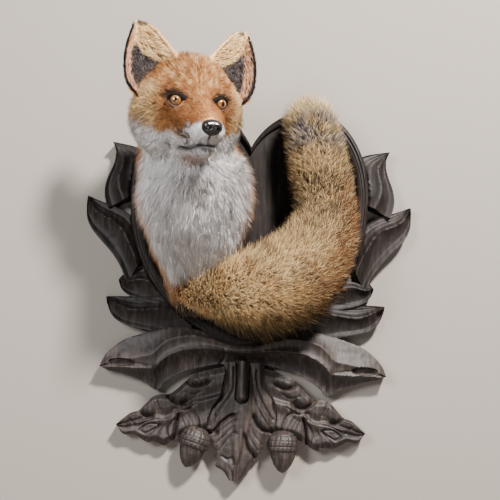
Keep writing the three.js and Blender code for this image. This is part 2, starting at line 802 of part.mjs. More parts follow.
// The rounded finger that hangs from the middle of the bow over the top of the leaves.
function stemSolid(grow) {
  const outline = new THREE.Shape();
  const half = 6 + grow;
  outline.moveTo(-half, -174.5);
  outline.lineTo(half, -174.5);
  outline.lineTo(half, -212);
  outline.absarc(0, -212, half, 0, -Math.PI, true);
  return standing(outline, 38 + grow, { slope: 2, rise: 4, curveSegments: 5 });
}

const group = new THREE.Group();

function place(name, solid, colour, finish = {}) {
  const material = new THREE.MeshStandardMaterial({
    color: colour,
    roughness: finish.roughness ?? 0.9,
    metalness: 0,
  });
  const mesh = new THREE.Mesh(geometryOf(solid), material);
  mesh.name = name;
  group.add(mesh);
}

function makeClusterPieces() {
  const stem = stemSolid(GAP);
  const bowGrown = bowSolid(GAP);
  const middle = lobedLeaf({ ...middleLeaf, grow: GAP }).add(stem).add(bowGrown);
  const acorns = acornSolid(1, GAP).add(acornSolid(-1, GAP));
  return {
    stem: stemSolid(0).subtract(bowGrown),
    oak_leaf_middle: lobedLeaf(middleLeaf).subtract(stem).subtract(bowGrown).subtract(acorns),
    oak_leaf_left: oakLeaf(1).subtract(middle).subtract(acorns),
    oak_leaf_right: oakLeaf(-1).subtract(middle).subtract(acorns),
    acorn_left: acornSolid(1, 0),
    acorn_right: acornSolid(-1, 0),
  };
}

const rimGrown = rimSolid(GAP);
const brush = makeBrushPieces(rimGrown);
const brushGrown = swollen(brush.tail_root, 2 * GAP).add(swollen(brush.tail_middle, 2 * GAP));
const necks = makeNeckPieces(brushGrown.add(rimGrown));
for (const [name, solid] of Object.entries(makeHeadPieces())) {
  place(name, solid, headColours[name] ?? colours.face);
}
for (const [name, solid] of Object.entries(necks)) place(name, solid, colours.bib);
for (const [name, solid] of Object.entries(brush)) place(name, solid, colours.brush);
const field = standing(panelOutline(plaque.rimScale - GAP / 100), plaque.fieldFront);
place('panel_field', field.subtract(bowSolid(GAP)), colours.wood);
place('panel_rim', rimSolid(0).subtract(bowSolid(GAP)), colours.wood);
place('leaf_border_left', leafBorder(1), colours.wood);
place('leaf_border_right', leafBorder(-1), colours.wood);
place('bow_bracket', bowSolid(0), colours.wood);
for (const [name, solid] of Object.entries(makeClusterPieces())) place(name, solid, colours.wood);

export default group;
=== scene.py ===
"""Taxidermy red fox on a carved wall plaque: skin, coat, glass eyes and carved wood.

The skin is one closed surface that lies inside the solids by the depth of the coat. The
coat is tufts of solid mesh, rooted on the skin and laid along the lie of the hair. Metres
throughout, +Z up, the wall at y = 0, and the fox's own left side towards +X.
"""

import math

import bpy
import numpy as np
from mathutils import Matrix, Vector, kdtree


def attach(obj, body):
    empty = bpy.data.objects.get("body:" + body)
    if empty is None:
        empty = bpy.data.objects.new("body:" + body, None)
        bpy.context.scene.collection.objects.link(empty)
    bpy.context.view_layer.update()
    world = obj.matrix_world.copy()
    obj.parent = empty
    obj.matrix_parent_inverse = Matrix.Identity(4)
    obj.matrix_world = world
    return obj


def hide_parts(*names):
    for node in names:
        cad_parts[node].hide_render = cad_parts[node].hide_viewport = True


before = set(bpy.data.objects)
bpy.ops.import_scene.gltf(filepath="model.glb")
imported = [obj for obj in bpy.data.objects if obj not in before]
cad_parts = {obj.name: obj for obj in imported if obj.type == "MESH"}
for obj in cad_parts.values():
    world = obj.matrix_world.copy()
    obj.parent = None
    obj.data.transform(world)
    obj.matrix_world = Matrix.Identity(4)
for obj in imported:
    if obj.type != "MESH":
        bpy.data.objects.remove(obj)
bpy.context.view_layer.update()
bpy.ops.object.select_all(action="DESELECT")

MM = 0.001
SEED = 20
SIDES = (1, -1)  # the fox's left, then its right
WHOLE_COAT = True

# ------------------------------------------------------------------ the fox's own sizes

# The head: the place between its eyes, how it is turned, and its axes.
BETWEEN_EYES = np.array([-60, -172, 104]) * MM
HEAD_TURN, HEAD_NOD, HEAD_TILT = (math.radians(a) for a in (18, 14, -2))
HEAD_AXES = np.array(Matrix.Rotation(HEAD_TURN, 3, "Z") @ Matrix.Rotation(HEAD_NOD, 3, "X")
                     @ Matrix.Rotation(HEAD_TILT, 3, "Y"))

# The left eye in the head's frame, how far the lids slant, and the front of the heart-shaped panel.
EYE_PLACE = np.array([24, 0, 0]) * MM
EYE_RADIUS = 8.5 * MM
LID_TILT = math.radians(13)
PANEL_FRONT = 18.3 * MM

# The outline of the neck and chest by height: middle, half width, front and rear.
NECK_Z = np.array([-120, -106, -86, -60, -34, -10, 18, 43, 67, 98, 126]) * MM
NECK_X = np.array([-66, -60, -57, -57, -60, -62, -64, -65, -71, -79, -86]) * MM
NECK_HALF = np.array([8, 23, 36, 50, 59, 62, 65, 64, 59, 49, 34]) * MM
NECK_FRONT = np.array([-52, -74, -100, -132, -152, -160, -160, -154, -146, -132, -118]) * MM
NECK_REAR = np.array([-6, 2, 8, 14, 18, 18, 18, 16, 8, -20, -50]) * MM

# The brush from root to tip: its middle line, its half widths, how flat it is, and the share of
# its outline that is skin.
BRUSH_MIDDLE = np.array([
    [-76, -66, -92], [-55, -86, -92], [-18, -100, -92], [17, -98, -87], [58, -82, -66], [86, -62, -26],
    [92, -52, 10], [86, -50, 44], [80, -49, 77], [74, -48, 104], [70, -46, 121]]) * MM
BRUSH_HALF = np.array([13, 25, 38, 47, 49, 43, 38, 38, 36, 35, 23]) * MM
BRUSH_DEPTH = 0.82
BRUSH_CORE = 0.6


# ------------------------------------------------------------------------- small sums

def smooth(low, high, value):
    t = np.clip((value - low) / (high - low), 0, 1)
    return t * t * (3 - 2 * t)


def span(low, high, value):
    """As smooth, between two places in millimetres."""
    return smooth(low * MM, high * MM, value)


def mix(a, b, t):
    return a + (b - a) * t


def unit(v):
    return v / np.maximum(np.linalg.norm(v, axis=-1, keepdims=True), 1e-12)


def blend(a, b, radius):
    overlap = np.clip(0.5 + 0.5 * (b - a) / radius, 0, 1)
    return b + (a - b) * overlap - radius * overlap * (1 - overlap)


def ellipsoid(p, middle, radii):
    q = (p - np.array(middle) * MM) / (np.array(radii) * MM)
    outer = np.linalg.norm(q, axis=-1)
    inner = np.linalg.norm(q / (np.array(radii) * MM), axis=-1)
    return outer * (outer - 1) / np.maximum(inner, 1e-9)


def round_taper(p, start, end, start_radius, end_radius):
    axis = end - start
    along = np.clip((p - start) @ axis / (axis @ axis), 0, 1)
    away = np.linalg.norm(p - start - along[..., None] * axis, axis=-1)
    return away - start_radius - (end_radius - start_radius) * along


def taper(p, start, end, start_radius, end_radius):
    return round_taper(p, np.array(start) * MM, np.array(end) * MM, start_radius * MM, end_radius * MM)


def through(values, t):
    """Smooth curve through equally spaced values, at t from 0 to the last index."""
    last = len(values) - 1
    i = np.clip(np.floor(t).astype(int), 0, last - 1)
    f = t - i
    a, b, c, d = (values[np.clip(i + step, 0, last)] for step in (-1, 0, 1, 2))
    return b + 0.5 * f * (c - a + f * (2 * a - 5 * b + 4 * c - d + f * (3 * (b - c) + d - a)))


def dice(cells, seed):
    """A repeatable number from 0 to 1 for each whole-numbered cell."""
    n = (cells.astype(np.int64) * np.array([73856093, 19349663, 83492791])).sum(-1) + seed * 2654435761
    n = (n ^ (n >> 13)) * 1274126177 & 0xFFFFFFFF
    n = (n ^ (n >> 16)) * 2246822519 & 0xFFFFFFFF
    return (n & 0xFFFFFF) / 0x1000000


def noise(p, cell, seed):
    """Smooth noise from 0 to 1 with features about one cell across."""
    q = p / cell
    base = np.floor(q)
    f = q - base
    f = f * f * (3 - 2 * f)
    total = 0
    for corner in range(8):
        step = np.array([corner & 1, corner >> 1 & 1, corner >> 2 & 1])
        weight = np.prod(np.where(step, f, 1 - f), -1)
        total = total + weight * dice(base + step, seed)
    return total


def wander(p, cell, seed):
    """Smooth vector noise, each part from -1 to 1."""
    return np.stack([noise(p, cell, seed + i) * 2 - 1 for i in range(3)], -1)


# ------------------------------------------------------------------- forms of the fox

def into_head(p):
    return (p - BETWEEN_EYES) @ HEAD_AXES


def fold(q):
    """Both halves of the head laid on its left half."""
    return np.concatenate([np.abs(q[..., :1]), q[..., 1:]], -1)


def from_head(q):
    return q @ HEAD_AXES.T + BETWEEN_EYES


def head_form(q):
    """The head's outline in its own frame: x to the fox's left, y to the back, z up."""
    p = fold(q)
    skull = ellipsoid(p, [0, 48, 10], [51, 50, 45])
    forehead = ellipsoid(p, [0, 18, 2], [30, 27, 27])
    brow = ellipsoid(p, [20, 9, 7], [15, 13, 12])
    cheek = ellipsoid(p, [33, 47, -14], [34, 41, 43])
    bridge = taper(p, [0, 8, -9], [0, -57, -25], 25, 13)
    side = taper(p, [17, 12, -16], [7, -50, -31], 20, 13)
    jaw = taper(p, [0, 12, -40], [0, -45, -46.5], 24, 12.8)
    top = blend(blend(skull, forehead, 10 * MM), brow, 8 * MM)
    muzzle = blend(bridge, side, 8 * MM)
    return blend(blend(blend(top, muzzle, 12 * MM), cheek, 14 * MM), jaw, 8 * MM)


def neck_form(p):
    z = p[..., 2]
    t = np.interp(z, NECK_Z, np.arange(len(NECK_Z)))
    half = through(NECK_HALF, t)
    front = through(NECK_FRONT, t)
    rear = through(NECK_REAR, t)
    depth = (rear - front) / 2
    across = (p[..., 0] - through(NECK_X, t)) / half
    along = (p[..., 1] - (front + rear) / 2) / depth
    side = (np.hypot(across, along) - 1) * np.minimum(half, depth)
    return np.maximum(np.maximum(side, NECK_Z[0] - z), z - NECK_Z[-1])


def brush_curve(t):
    """Centripetal curve through the brush's stations, with t from 0 to 1."""
    last = len(BRUSH_MIDDLE) - 1
    i = np.clip(np.floor(t * last).astype(int), 0, last - 1)
    f = (t * last - i)[..., None]
    ends = np.vstack([2 * BRUSH_MIDDLE[0] - BRUSH_MIDDLE[1], BRUSH_MIDDLE,
                      2 * BRUSH_MIDDLE[-1] - BRUSH_MIDDLE[-2]])
    a, b, c, d = (ends[i + step] for step in range(4))
    gap = [np.sqrt(np.linalg.norm(v - u, axis=-1))[..., None] for u, v in ((a, b), (b, c), (c, d))]
    start = (b - a) / gap[0] - (c - a) / (gap[0] + gap[1]) + (c - b) / gap[1]
    end = (c - b) / gap[1] - (d - b) / (gap[1] + gap[2]) + (d - c) / gap[2]
    start, end = start * gap[1], end * gap[1]
    return b + f * (start + f * (-3 * b + 3 * c - 2 * start - end + f * (2 * b - 2 * c + start + end)))


BRUSH_STEPS = 40
brush_t = np.linspace(0, 1, BRUSH_STEPS + 1)
brush_points = brush_curve(brush_t)
brush_radii = through(BRUSH_HALF, brush_t * (len(BRUSH_HALF) - 1))
brush_tangents = unit(np.gradient(brush_points, axis=0))
FLATTEN = np.array([1, 1 / BRUSH_DEPTH, 1])


def brush_form(p, share=1.0):
    """The brush's outline, or with a share of its half widths its core of skin and bone."""
    q = p * FLATTEN
    nearest = np.full(p.shape[:-1], np.inf)
    for i in range(BRUSH_STEPS):
        nearest = np.minimum(nearest, round_taper(
            q, brush_points[i] * FLATTEN, brush_points[i + 1] * FLATTEN,
            brush_radii[i] * share, brush_radii[i + 1] * share))
    return nearest * BRUSH_DEPTH


def nearest_on_brush(p):
    """For each point the place along the brush, from 0 to 1, that is nearest to it."""
    gaps = np.linalg.norm(p[:, None] - brush_points[None], axis=-1)
    return brush_t[gaps.argmin(1)]


def body_form(p):
    return blend(head_form(into_head(p)), neck_form(p), 22 * MM)


# Where the lips close, from the corner of the mouth to the chin, in the head's frame.
LIP_Y = np.array([-84, -52, -28, 0, 30]) * MM
LIP_Z = np.array([-37, -46, -49.5, -48, -45]) * MM


def lip_height(y):
    return np.interp(y, LIP_Y, LIP_Z)


def coat_depth(p):
    """How far the skin lies inside the tips of the coat on the head, neck and chest."""
    q = into_head(p)
    x, y, z = np.abs(q[..., 0]), q[..., 1], q[..., 2]
    face = mix(3.2 * MM, 7 * MM, span(10, 45, y))
    cheek = mix(face, 12 * MM, span(26, 52, x) * span(14, -12, z))
    jaw = mix(cheek, 9 * MM, span(-38, -56, z) * span(-20, 20, y))
    head = mix(1.6 * MM, jaw, span(-34, 4, y))
    beyond = span(0, 26, head_form(q) - neck_form(p) + 8 * MM)
    return mix(head, 13 * MM, beyond)


def hide_form(p):
    """The skin of the head, neck and chest."""
    return body_form(p) + coat_depth(p)


def on_the_brush(p):
    """Which places on the skin are the brush's."""
    return brush_form(p, BRUSH_CORE) < hide_form(p)


# The bar of hide between the chest and the root of the brush.
ROOT_LINK = [np.array([-60, -50, -82]) * MM, np.array([-44, -88, -92]) * MM]


def skin_form(p):
    """The whole skin: with the lips' groove, the eyes' sockets and the brush's core."""
    q = into_head(p)
    y, z = q[..., 1], q[..., 2]
    lip = np.exp(-((z - lip_height(y)) / (1.5 * MM)) ** 2) * span(14, -8, y)
    body = hide_form(p) + 1.6 * MM * lip
    socket = np.linalg.norm(fold(q) - EYE_PLACE, axis=-1) - EYE_RADIUS - 0.2 * MM
    body = np.maximum(body, -socket)
    link = round_taper(p, *ROOT_LINK, 12 * MM, 12 * MM)
    whole = blend(blend(body, link, 6 * MM), brush_form(p, BRUSH_CORE), 6 * MM)
    return np.maximum(whole, p[..., 1] + PANEL_FRONT)


def slope_of(form, p, step=0.4 * MM):
    here = form(p)
    return np.stack([form(p + step * np.eye(3)[i]) - here for i in range(3)], -1) / step, here


def onto_form(form, p, reach, rounds=3):
    start = p.copy()
    for _ in range(rounds):
        slope, value = slope_of(form, p)
        steep = np.maximum((slope ** 2).sum(-1), 0.25)
        p = p - (value / steep)[..., None] * slope
        p = start + np.clip(p - start, -reach, reach)
    return p


def net_of(form, low, high, cell):
    """Corners and quads of the surface where the form is zero, inside a box of cells."""
    counts = [int(math.ceil((high[i] - low[i]) / cell)) + 1 for i in range(3)]
    ways = (low[i] + cell * np.arange(counts[i]) for i in range(3))
    grid = np.stack(np.meshgrid(*ways, indexing="ij"), -1)
    values = np.empty(counts)
    for i in range(counts[0]):
        values[i] = form(grid[i])
    for axis in range(3):
        for end in (0, -1):
            face = [slice(None)] * 3
            face[axis] = end
            values[tuple(face)] = np.maximum(values[tuple(face)], cell / 2)
    cells = [n - 1 for n in counts]
    sums, hits, edges = np.zeros(cells + [3]), np.zeros(cells), []
    for axis in range(3):
        lower, upper = [slice(None)] * 3, [slice(None)] * 3
        lower[axis], upper[axis] = slice(0, -1), slice(1, None)
        a, b = values[tuple(lower)], values[tuple(upper)]
        crossing = (a < 0) != (b < 0)
        share = np.where(crossing, a / np.where(crossing, a - b, 1), 0)
        place = (grid[tuple(lower)] + share[..., None] * cell * np.eye(3)[axis]) * crossing[..., None]
        u, v = (axis + 1) % 3, (axis + 2) % 3
        for du in (0, 1):
            for dv in (0, 1):
                part = [slice(None)] * 3
                part[u], part[v] = slice(du, du + cells[u]), slice(dv, dv + cells[v])
                sums += place[tuple(part)]
                hits += crossing[tuple(part)]
        edges.append((axis, np.argwhere(crossing), a[crossing] < 0))
    used = hits > 0
    number = np.full(cells, -1)
    number[used] = np.arange(used.sum())
    points = sums[used] / hits[used][:, None]
    quads = []
    for axis, places, outward in edges:
        u, v = np.eye(3, dtype=int)[(axis + 1) % 3], np.eye(3, dtype=int)[(axis + 2) % 3]
        corners = ((0, 0), (1, 0), (1, 1), (0, 1))
        ring = np.stack([number[tuple((places - a * u - b * v).T)] for a, b in corners], -1)
        quads.append(np.where(outward[:, None], ring, ring[:, ::-1]))
    return points, np.concatenate(quads)


# -------------------------------------------------------------------- making of meshes

def finish_piece(piece, nodes=(), material=None):
    if material is not None:
        piece.data.materials.clear()
        piece.data.materials.append(material)
    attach(piece, "root")
    if nodes:
        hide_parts(*nodes)
    return piece


def object_of(name, points, faces):
    """A mesh object from its corners and its faces, which are one array or a list of arrays."""
    mesh = bpy.data.meshes.new(name)
    groups = [np.asarray(group) for group in (faces if isinstance(faces, list) else [faces])]
    loops = np.concatenate([group.ravel() for group in groups])
    sizes = np.concatenate([np.full(len(group), group.shape[1]) for group in groups])
    mesh.vertices.add(len(points))
    mesh.vertices.foreach_set("co", np.asarray(points, np.float32).ravel())
    mesh.loops.add(len(loops))
    mesh.loops.foreach_set("vertex_index", loops.astype(np.int32))
    mesh.polygons.add(len(sizes))
    mesh.polygons.foreach_set("loop_start", (np.cumsum(sizes) - sizes).astype(np.int32))
    mesh.update(calc_edges=True)
    piece = bpy.data.objects.new(name, mesh)
    bpy.context.scene.collection.objects.link(piece)
    return piece


def corners_of(piece):
    co = np.empty(len(piece.data.vertices) * 3, np.float32)
    piece.data.vertices.foreach_get("co", co)
    return co.reshape(-1, 3).astype(float)


def set_corners(piece, points):
    piece.data.vertices.foreach_set("co", np.asarray(points, np.float32).ravel())
    piece.data.update()


def only(piece):
    bpy.ops.object.select_all(action="DESELECT")
    piece.select_set(True)
    bpy.context.view_layer.objects.active = piece
    return piece


def refine(piece, wanted):
    """Splits the faces whose middles the test picks."""
    mesh = only(piece).data
    middles = np.empty(len(mesh.polygons) * 3, np.float32)
    mesh.polygons.foreach_get("center", middles)
    picked = wanted(middles.reshape(-1, 3).astype(float))
    bpy.ops.object.mode_set(mode="EDIT")
    bpy.ops.mesh.select_mode(type="FACE")
    bpy.ops.mesh.select_all(action="DESELECT")
    bpy.ops.object.mode_set(mode="OBJECT")
    mesh.polygons.foreach_set("select", picked)
    bpy.ops.object.mode_set(mode="EDIT")
    bpy.ops.mesh.subdivide(number_cuts=1)
    bpy.ops.object.mode_set(mode="OBJECT")


def in_edit_mode(piece, work):
    """Runs a mesh operator on all of a piece."""
    only(piece)
    bpy.ops.object.mode_set(mode="EDIT")
    bpy.ops.mesh.select_all(action="SELECT")
    work()
    bpy.ops.object.mode_set(mode="OBJECT")
    return piece


def face_outwards(piece):
    return in_edit_mode(piece, lambda: bpy.ops.mesh.normals_make_consistent(inside=False))


def grid_quads(rows, columns):
    """Quads of a net with so many cells each way, its corners numbered row by row."""
    a = (np.arange(rows)[:, None] * (columns + 1) + np.arange(columns)[None]).ravel()
    return np.stack([a, a + 1, a + columns + 2, a + columns + 1], -1)


def ring_quads(rings, around, closed):
    """Quads between rings of corners, where closed also from the last ring to the first."""
    number = np.arange(rings * around).reshape(rings, around)
    after = np.roll(number, -1, 0)
    quads = np.stack([number, np.roll(number, -1, 1), np.roll(after, -1, 1), after], -1)
    return quads[:rings if closed else rings - 1].reshape(-1, 4)


def word_of(side):
    return "left" if side > 0 else "right"


def shade_smooth(piece):
    piece.data.polygons.foreach_set("use_smooth", np.ones(len(piece.data.polygons), bool))
    piece.data.update()
    return piece


def store_colour(piece, name, colours):
    layer = piece.data.color_attributes.new(name=name, type="FLOAT_COLOR", domain="POINT")
    full = np.concatenate([np.clip(colours, 0, 1), np.ones((len(colours), 1))], -1)
    layer.data.foreach_set("color", full.astype(np.float32).ravel())


def store_vector(piece, name, vectors):
    layer = piece.data.attributes.new(name=name, type="FLOAT_VECTOR", domain="POINT")
    layer.data.foreach_set("vector", np.asarray(vectors, np.float32).ravel())


# --------------------------------------------------------------- colours and markings

def paint(red, green, blue):
    """A colour from its 0 to 255 screen values, as light."""
    c = np.array([red, green, blue]) / 255
    return np.where(c < 0.04045, c / 12.92, ((c + 0.055) / 1.055) ** 2.4)


RUST = paint(126, 70, 36)
ORANGE = paint(178, 106, 54)
TAN = paint(204, 148, 94)
CREAM = paint(236, 206, 150)
SAND = paint(174, 134, 88)
UMBER = paint(70, 50, 34)
WHITE = paint(246, 241, 240)
PALE = paint(250, 240, 224)
GREY = paint(158, 150, 151)
BROWN = paint(98, 70, 52)
DARK = paint(44, 35, 31)
BLACK = paint(17, 15, 15)
PINK = paint(196, 152, 136)


def toward(colour, other, share):
    return colour + (other - colour) * np.asarray(share)[..., None]


# Where the rust streak runs from the eye to the muzzle, and where the face turns white
# below, in the head's frame.
STREAK_Y = np.array([-50, -30, 0]) * MM
STREAK_X = np.array([15, 19, 24]) * MM
STREAK_Z = np.array([-24, -22, -14]) * MM
WHITE_Y = np.array([-70, -50, -30, -10, 12, 40, 80]) * MM
WHITE_Z = np.array([-23, -27, -31, -35, -30, -18, -8]) * MM


def head_colour(q):
    """Markings of the head in its own frame."""
    x, y, z = np.abs(q[..., 0]), q[..., 1], q[..., 2]
    blotch = noise(q, 9 * MM, 11)
    strands = noise(q * [1, 0.28, 0.4], 2.4 * MM, 14)
    fine = noise(q, 3.5 * MM, 12)
    # Orange, darker on the crown, with dark and pale strands behind the muzzle.
    colour = toward(TAN, ORANGE, 0.25 + 0.6 * blotch) * mix(1, 0.76, span(-10, 20, z))[..., None]
    behind = span(-50, -10, y)
    colour = toward(colour, BROWN, 0.55 * smooth(0.5, 0.8, strands) * behind)
    colour = toward(colour, CREAM, 0.36 * smooth(0.45, 0.2, strands) * behind)
    mottle = noise(q * [1, 0.5, 1], 1.8 * MM, 15)
    colour = toward(colour, BROWN, 0.6 * smooth(0.55, 0.85, mottle) * span(0, -30, y))
    colour = toward(colour, CREAM, 0.55 * span(46, 60, z) * span(20, 44, y))
    colour = toward(colour, CREAM, 0.5 * span(30, 46, x) * span(24, 10, z))
    # Rust round the eyes, dark above them, and the rust streak to the muzzle.
    eye_gap = np.hypot((x - 24 * MM) / 1.25, z)
    face = span(40, 5, y)
    colour = toward(colour, RUST, 0.6 * span(22, 10, eye_gap) * face)
    colour = toward(colour, DARK, 0.8 * span(12.5, 9, eye_gap) * span(0, 4, z) * face)
    streak = np.hypot(x - np.interp(y, STREAK_Y, STREAK_X), z - np.interp(y, STREAK_Y, STREAK_Z))
    colour = toward(colour, RUST, 0.8 * span(11, 3, streak) * span(8, -6, y))
    # White below, with grey in the cheeks.
    white = span(4, -4, z - np.interp(y, WHITE_Y, WHITE_Z) - (blotch - 0.5) * 9 * MM)
    colour = toward(colour, WHITE, 0.96 * white)
    cheek = span(28, 46, x) * span(-6, -22, z)
    greyed = smooth(0.5, 0.8, noise(q * [1, 0.5, 0.5], 7 * MM, 13))
    colour = toward(colour, GREY * 0.8, cheek * 0.6 * greyed)
    # The whisker bed, the dark pad behind it, the chin and the bare strip under the jaw.
    whisker = span(-62, -52, y) * span(-14, -28, y) * span(-20, -28, z)
    colour = toward(colour, BROWN, 0.85 * whisker * smooth(0.55, 0.75, fine) * span(-50, -44, z))
    pad = np.exp(-((y + 28 * MM) / (15 * MM)) ** 2 - ((z + 36 * MM) / (9 * MM)) ** 2) * span(7, 14, x)
    colour = toward(colour, toward(BROWN, DARK, 0.5), pad * smooth(0.2, 0.45, fine))
    chin = span(-46, -50, z) * span(-28, -44, y)
    colour = toward(colour, DARK, 0.75 * chin * smooth(0.5, 0.7, fine))
    under = span(-52, -58, z) * span(-40, -18, y) * span(30, 12, y)
    colour = toward(colour, PINK, 0.6 * under)
    # The closed lips, and the groove from them up to the nose.
    lips = (z - lip_height(y) + 0.8 * MM) / mix(3.4 * MM, 2.6 * MM, span(-52, -40, y))
    colour = toward(colour, BLACK, np.exp(-lips ** 2) * span(10, 2, y))
    groove = np.exp(-(x / (2.0 * MM)) ** 2) * span(-54, -60, y) * span(-30, -34, z)
    return toward(colour, BLACK, groove * span(-48, -45, z))


def neck_side(p):
    """How far across a place on the neck is, and how far round to its side or rear."""
    t = np.interp(p[..., 2], NECK_Z, np.arange(len(NECK_Z)))
    across = (p[..., 0] - through(NECK_X, t)) / through(NECK_HALF, t)
    nape = span(50, 76, p[..., 2]) * span(-108, -76, p[..., 1])
    behind = np.maximum(span(-104, -62, p[..., 1]), nape)
    return across, np.maximum(smooth(0.66, 0.88, np.abs(across)), behind)


# Painted shadow under the jaw, where the head shades the neck, in the head's frame.
JAW_SHADOW_PLACE = np.array([0, -6, -76]) * MM
JAW_SHADOW_SPREAD = np.array([34, 34, 27]) * MM


def neck_colour(p):
    """White bib with grey streaks and painted shadow under the jaw, orange flanks, and dark at its foot.
    """
    _, side = neck_side(p)
    streaky = noise(p * [1, 1, 0.16], 3.4 * MM, 21)
    patchy = noise(p * [1, 1, 0.5], 17 * MM, 22)
    bib = toward(WHITE, GREY, 0.75 * smooth(0.45, 0.8, 0.7 * streaky + 0.3 * patchy))
    # Painted shadow: the bib turns umber under the jaw, where the head's shadow falls.
    from_jaw_shadow = np.linalg.norm((into_head(p) - JAW_SHADOW_PLACE) / JAW_SHADOW_SPREAD, axis=-1)
    painted_jaw_shadow = 0.6 * smooth(1, 0.45, from_jaw_shadow) * smooth(0.2, 0.5, 0.6 + streaky - 0.5 * patchy)
    bib = toward(bib, UMBER, painted_jaw_shadow)
    flank = toward(toward(ORANGE, TAN, patchy) * 0.8, GREY, 0.35 * smooth(0.4, 0.8, streaky))
    return toward(toward(bib, flank, side), DARK, span(-74, -92, p[..., 2]))


def brush_colour(p):
    """Sandy brush with dark grizzle, rust at its root and outer bend, grey and cream at its tip, and
    painted light on its underside.
    """
    t = nearest_on_brush(p)
    outward = unit(p - brush_curve(t))
    colour = toward(SAND, CREAM * 0.62, 0.75 * noise(p, 11 * MM, 31))
    grizzle = 0.6 * smooth(0.42, 0.7, noise(p, 19 * MM, 32)) * smooth(0.05, 0.2, t)
    colour = toward(colour, UMBER, grizzle)
    bend = smooth(0.34, 0.46, t) * smooth(0.78, 0.62, t)
    colour = toward(colour, UMBER, bend * (0.32 + 0.4 * smooth(0.3, 0.6, noise(p, 7 * MM, 34))))
    colour = colour * mix(0.98, 0.74, smooth(0.22, 0.4, t))[..., None]
    # Painted light: the brush's underside, which the lamp leaves in shade, is made lighter.
    painted_underside_light = smooth(-0.1, -0.6, outward[..., 2]) * smooth(0.6, 0.45, t)
    colour = colour * mix(1, 1.45, painted_underside_light)[..., None]
    outer = smooth(0.1, 0.9, outward[..., 0] - 0.6 * outward[..., 2])
    outer = outer * smooth(0.25, 0.4, t) * smooth(0.75, 0.6, t)
    colour = toward(colour, SAND * [0.28, 0.17, 0.11], 0.8 * outer)
    colour = toward(colour, RUST, 0.7 * smooth(0.12, 0.04, t))
    greyed = 0.8 * smooth(0.76, 0.86, t) * smooth(0.25, 0.6, noise(p, 9 * MM, 33))
    colour = toward(colour, GREY * 0.4, greyed)
    colour = toward(colour, CREAM * 0.8, 0.8 * smooth(0.93, 1.0, t))
    rear_edge = mix(0.1, -0.1, smooth(0.3, 0.2, t))
    return toward(colour, DARK, 0.9 * smooth(rear_edge, 0.3, outward[..., 1]))


def coat_colour(p, in_brush):
    """The colour of the hair that is rooted at a place on the skin."""
    q = into_head(p)
    to_neck = span(-6, 10, head_form(q) - neck_form(p))
    colour = toward(head_colour(q), neck_colour(p), to_neck)
    return np.where(in_brush[:, None], brush_colour(p), colour)


# ------------------------------------------------------------------------------ skin

# The boxes that hold the skin and the nose, and how fine their nets are.
SKIN_LOW, SKIN_HIGH = np.array([-146, -236, -140]) * MM, np.array([142, -12, 174]) * MM
NOSE_LOW, NOSE_HIGH = np.array([-14, -80, -40]) * MM, np.array([14, -57, -14]) * MM
SKIN_CELL, NOSE_CELL = 2.4 * MM, 0.55 * MM


def skin_mesh():
    """The bare skin as one closed surface, finest at the eyes and lips."""
    points, quads = net_of(skin_form, SKIN_LOW, SKIN_HIGH, SKIN_CELL)
    points = onto_form(skin_form, points, 1.2 * MM)
    skin = object_of("fox_skin", points, quads)
    refine(skin, lambda p: (into_head(p)[:, 1] < 8 * MM) & (head_form(into_head(p)) < 0))
    refine(skin, near_lids_or_lips)
    set_corners(skin, onto_form(skin_form, corners_of(skin), 0.8 * MM))
    return skin


def near_lids_or_lips(p):
    q = into_head(p)
    to_eye = np.linalg.norm(fold(q) - EYE_PLACE, axis=-1)
    to_lip = np.abs(q[:, 2] - lip_height(q[:, 1]))
    return (to_eye < 14 * MM) | ((to_lip < 4 * MM) & (q[:, 1] < 6 * MM) & (head_form(q) < 0))


# An ear's hollow face in the head's frame, from its base to its tip.
EAR_INNER = np.array([[18, 25, 42], [26, 36, 56], [40, 42, 72], [53, 48, 82]]) * MM
EAR_MIDDLE = np.array([[44, 48, 14], [54, 56, 34], [60, 56, 60], [60, 50, 82]]) * MM
EAR_OUTER = np.array([[57, 34, 2], [71, 38, 22], [73, 42, 50], [65, 48, 80]]) * MM
EAR_ROWS, EAR_COLUMNS = 46, 34


def ear_surface(height, across, side):
    """The hollow face of an ear in the head's frame, from its base up and across."""
    inner, middle, outer = (
        np.stack([through(line[:, i], height * 3) for i in range(3)], -1)
        for line in (EAR_INNER, EAR_MIDDLE, EAR_OUTER))
    bow = 2 * middle - (inner + outer) / 2
    a = across[..., None]
    place = (1 - a) ** 2 * inner + 2 * a * (1 - a) * bow + a ** 2 * outer
    return place * [side, 1, 1]


def ear_frame(height, across, side):
    """Place, rearward normal, way up and way across on an ear, in world axes."""
    step = 0.01
    here = ear_surface(height, across, side)
    up = unit(ear_surface(height + step, across, side) - ear_surface(height - step, across, side))
    over = unit(ear_surface(height, across + step, side) - ear_surface(height, across - step, side))
    rear = unit(np.cross(over, up))
    rear = np.where(rear[..., 1:2] < 0, -rear, rear)
    return from_head(here), rear @ HEAD_AXES.T, up @ HEAD_AXES.T, over @ HEAD_AXES.T


# How far behind an ear's hollow face its middle lies, and how thick it is from there to
# the front and to the rear, in millimetres.
EAR_SET_BACK, EAR_TO_FRONT, EAR_TO_REAR = 2.4, 1.0, 1.2


def ear_thickness(height, across):
    """Share of an ear's full thickness at a place on it: least at its rim."""
    return np.minimum(1, 0.3 + 5 * np.minimum(np.minimum(across, 1 - across), 1 - height))


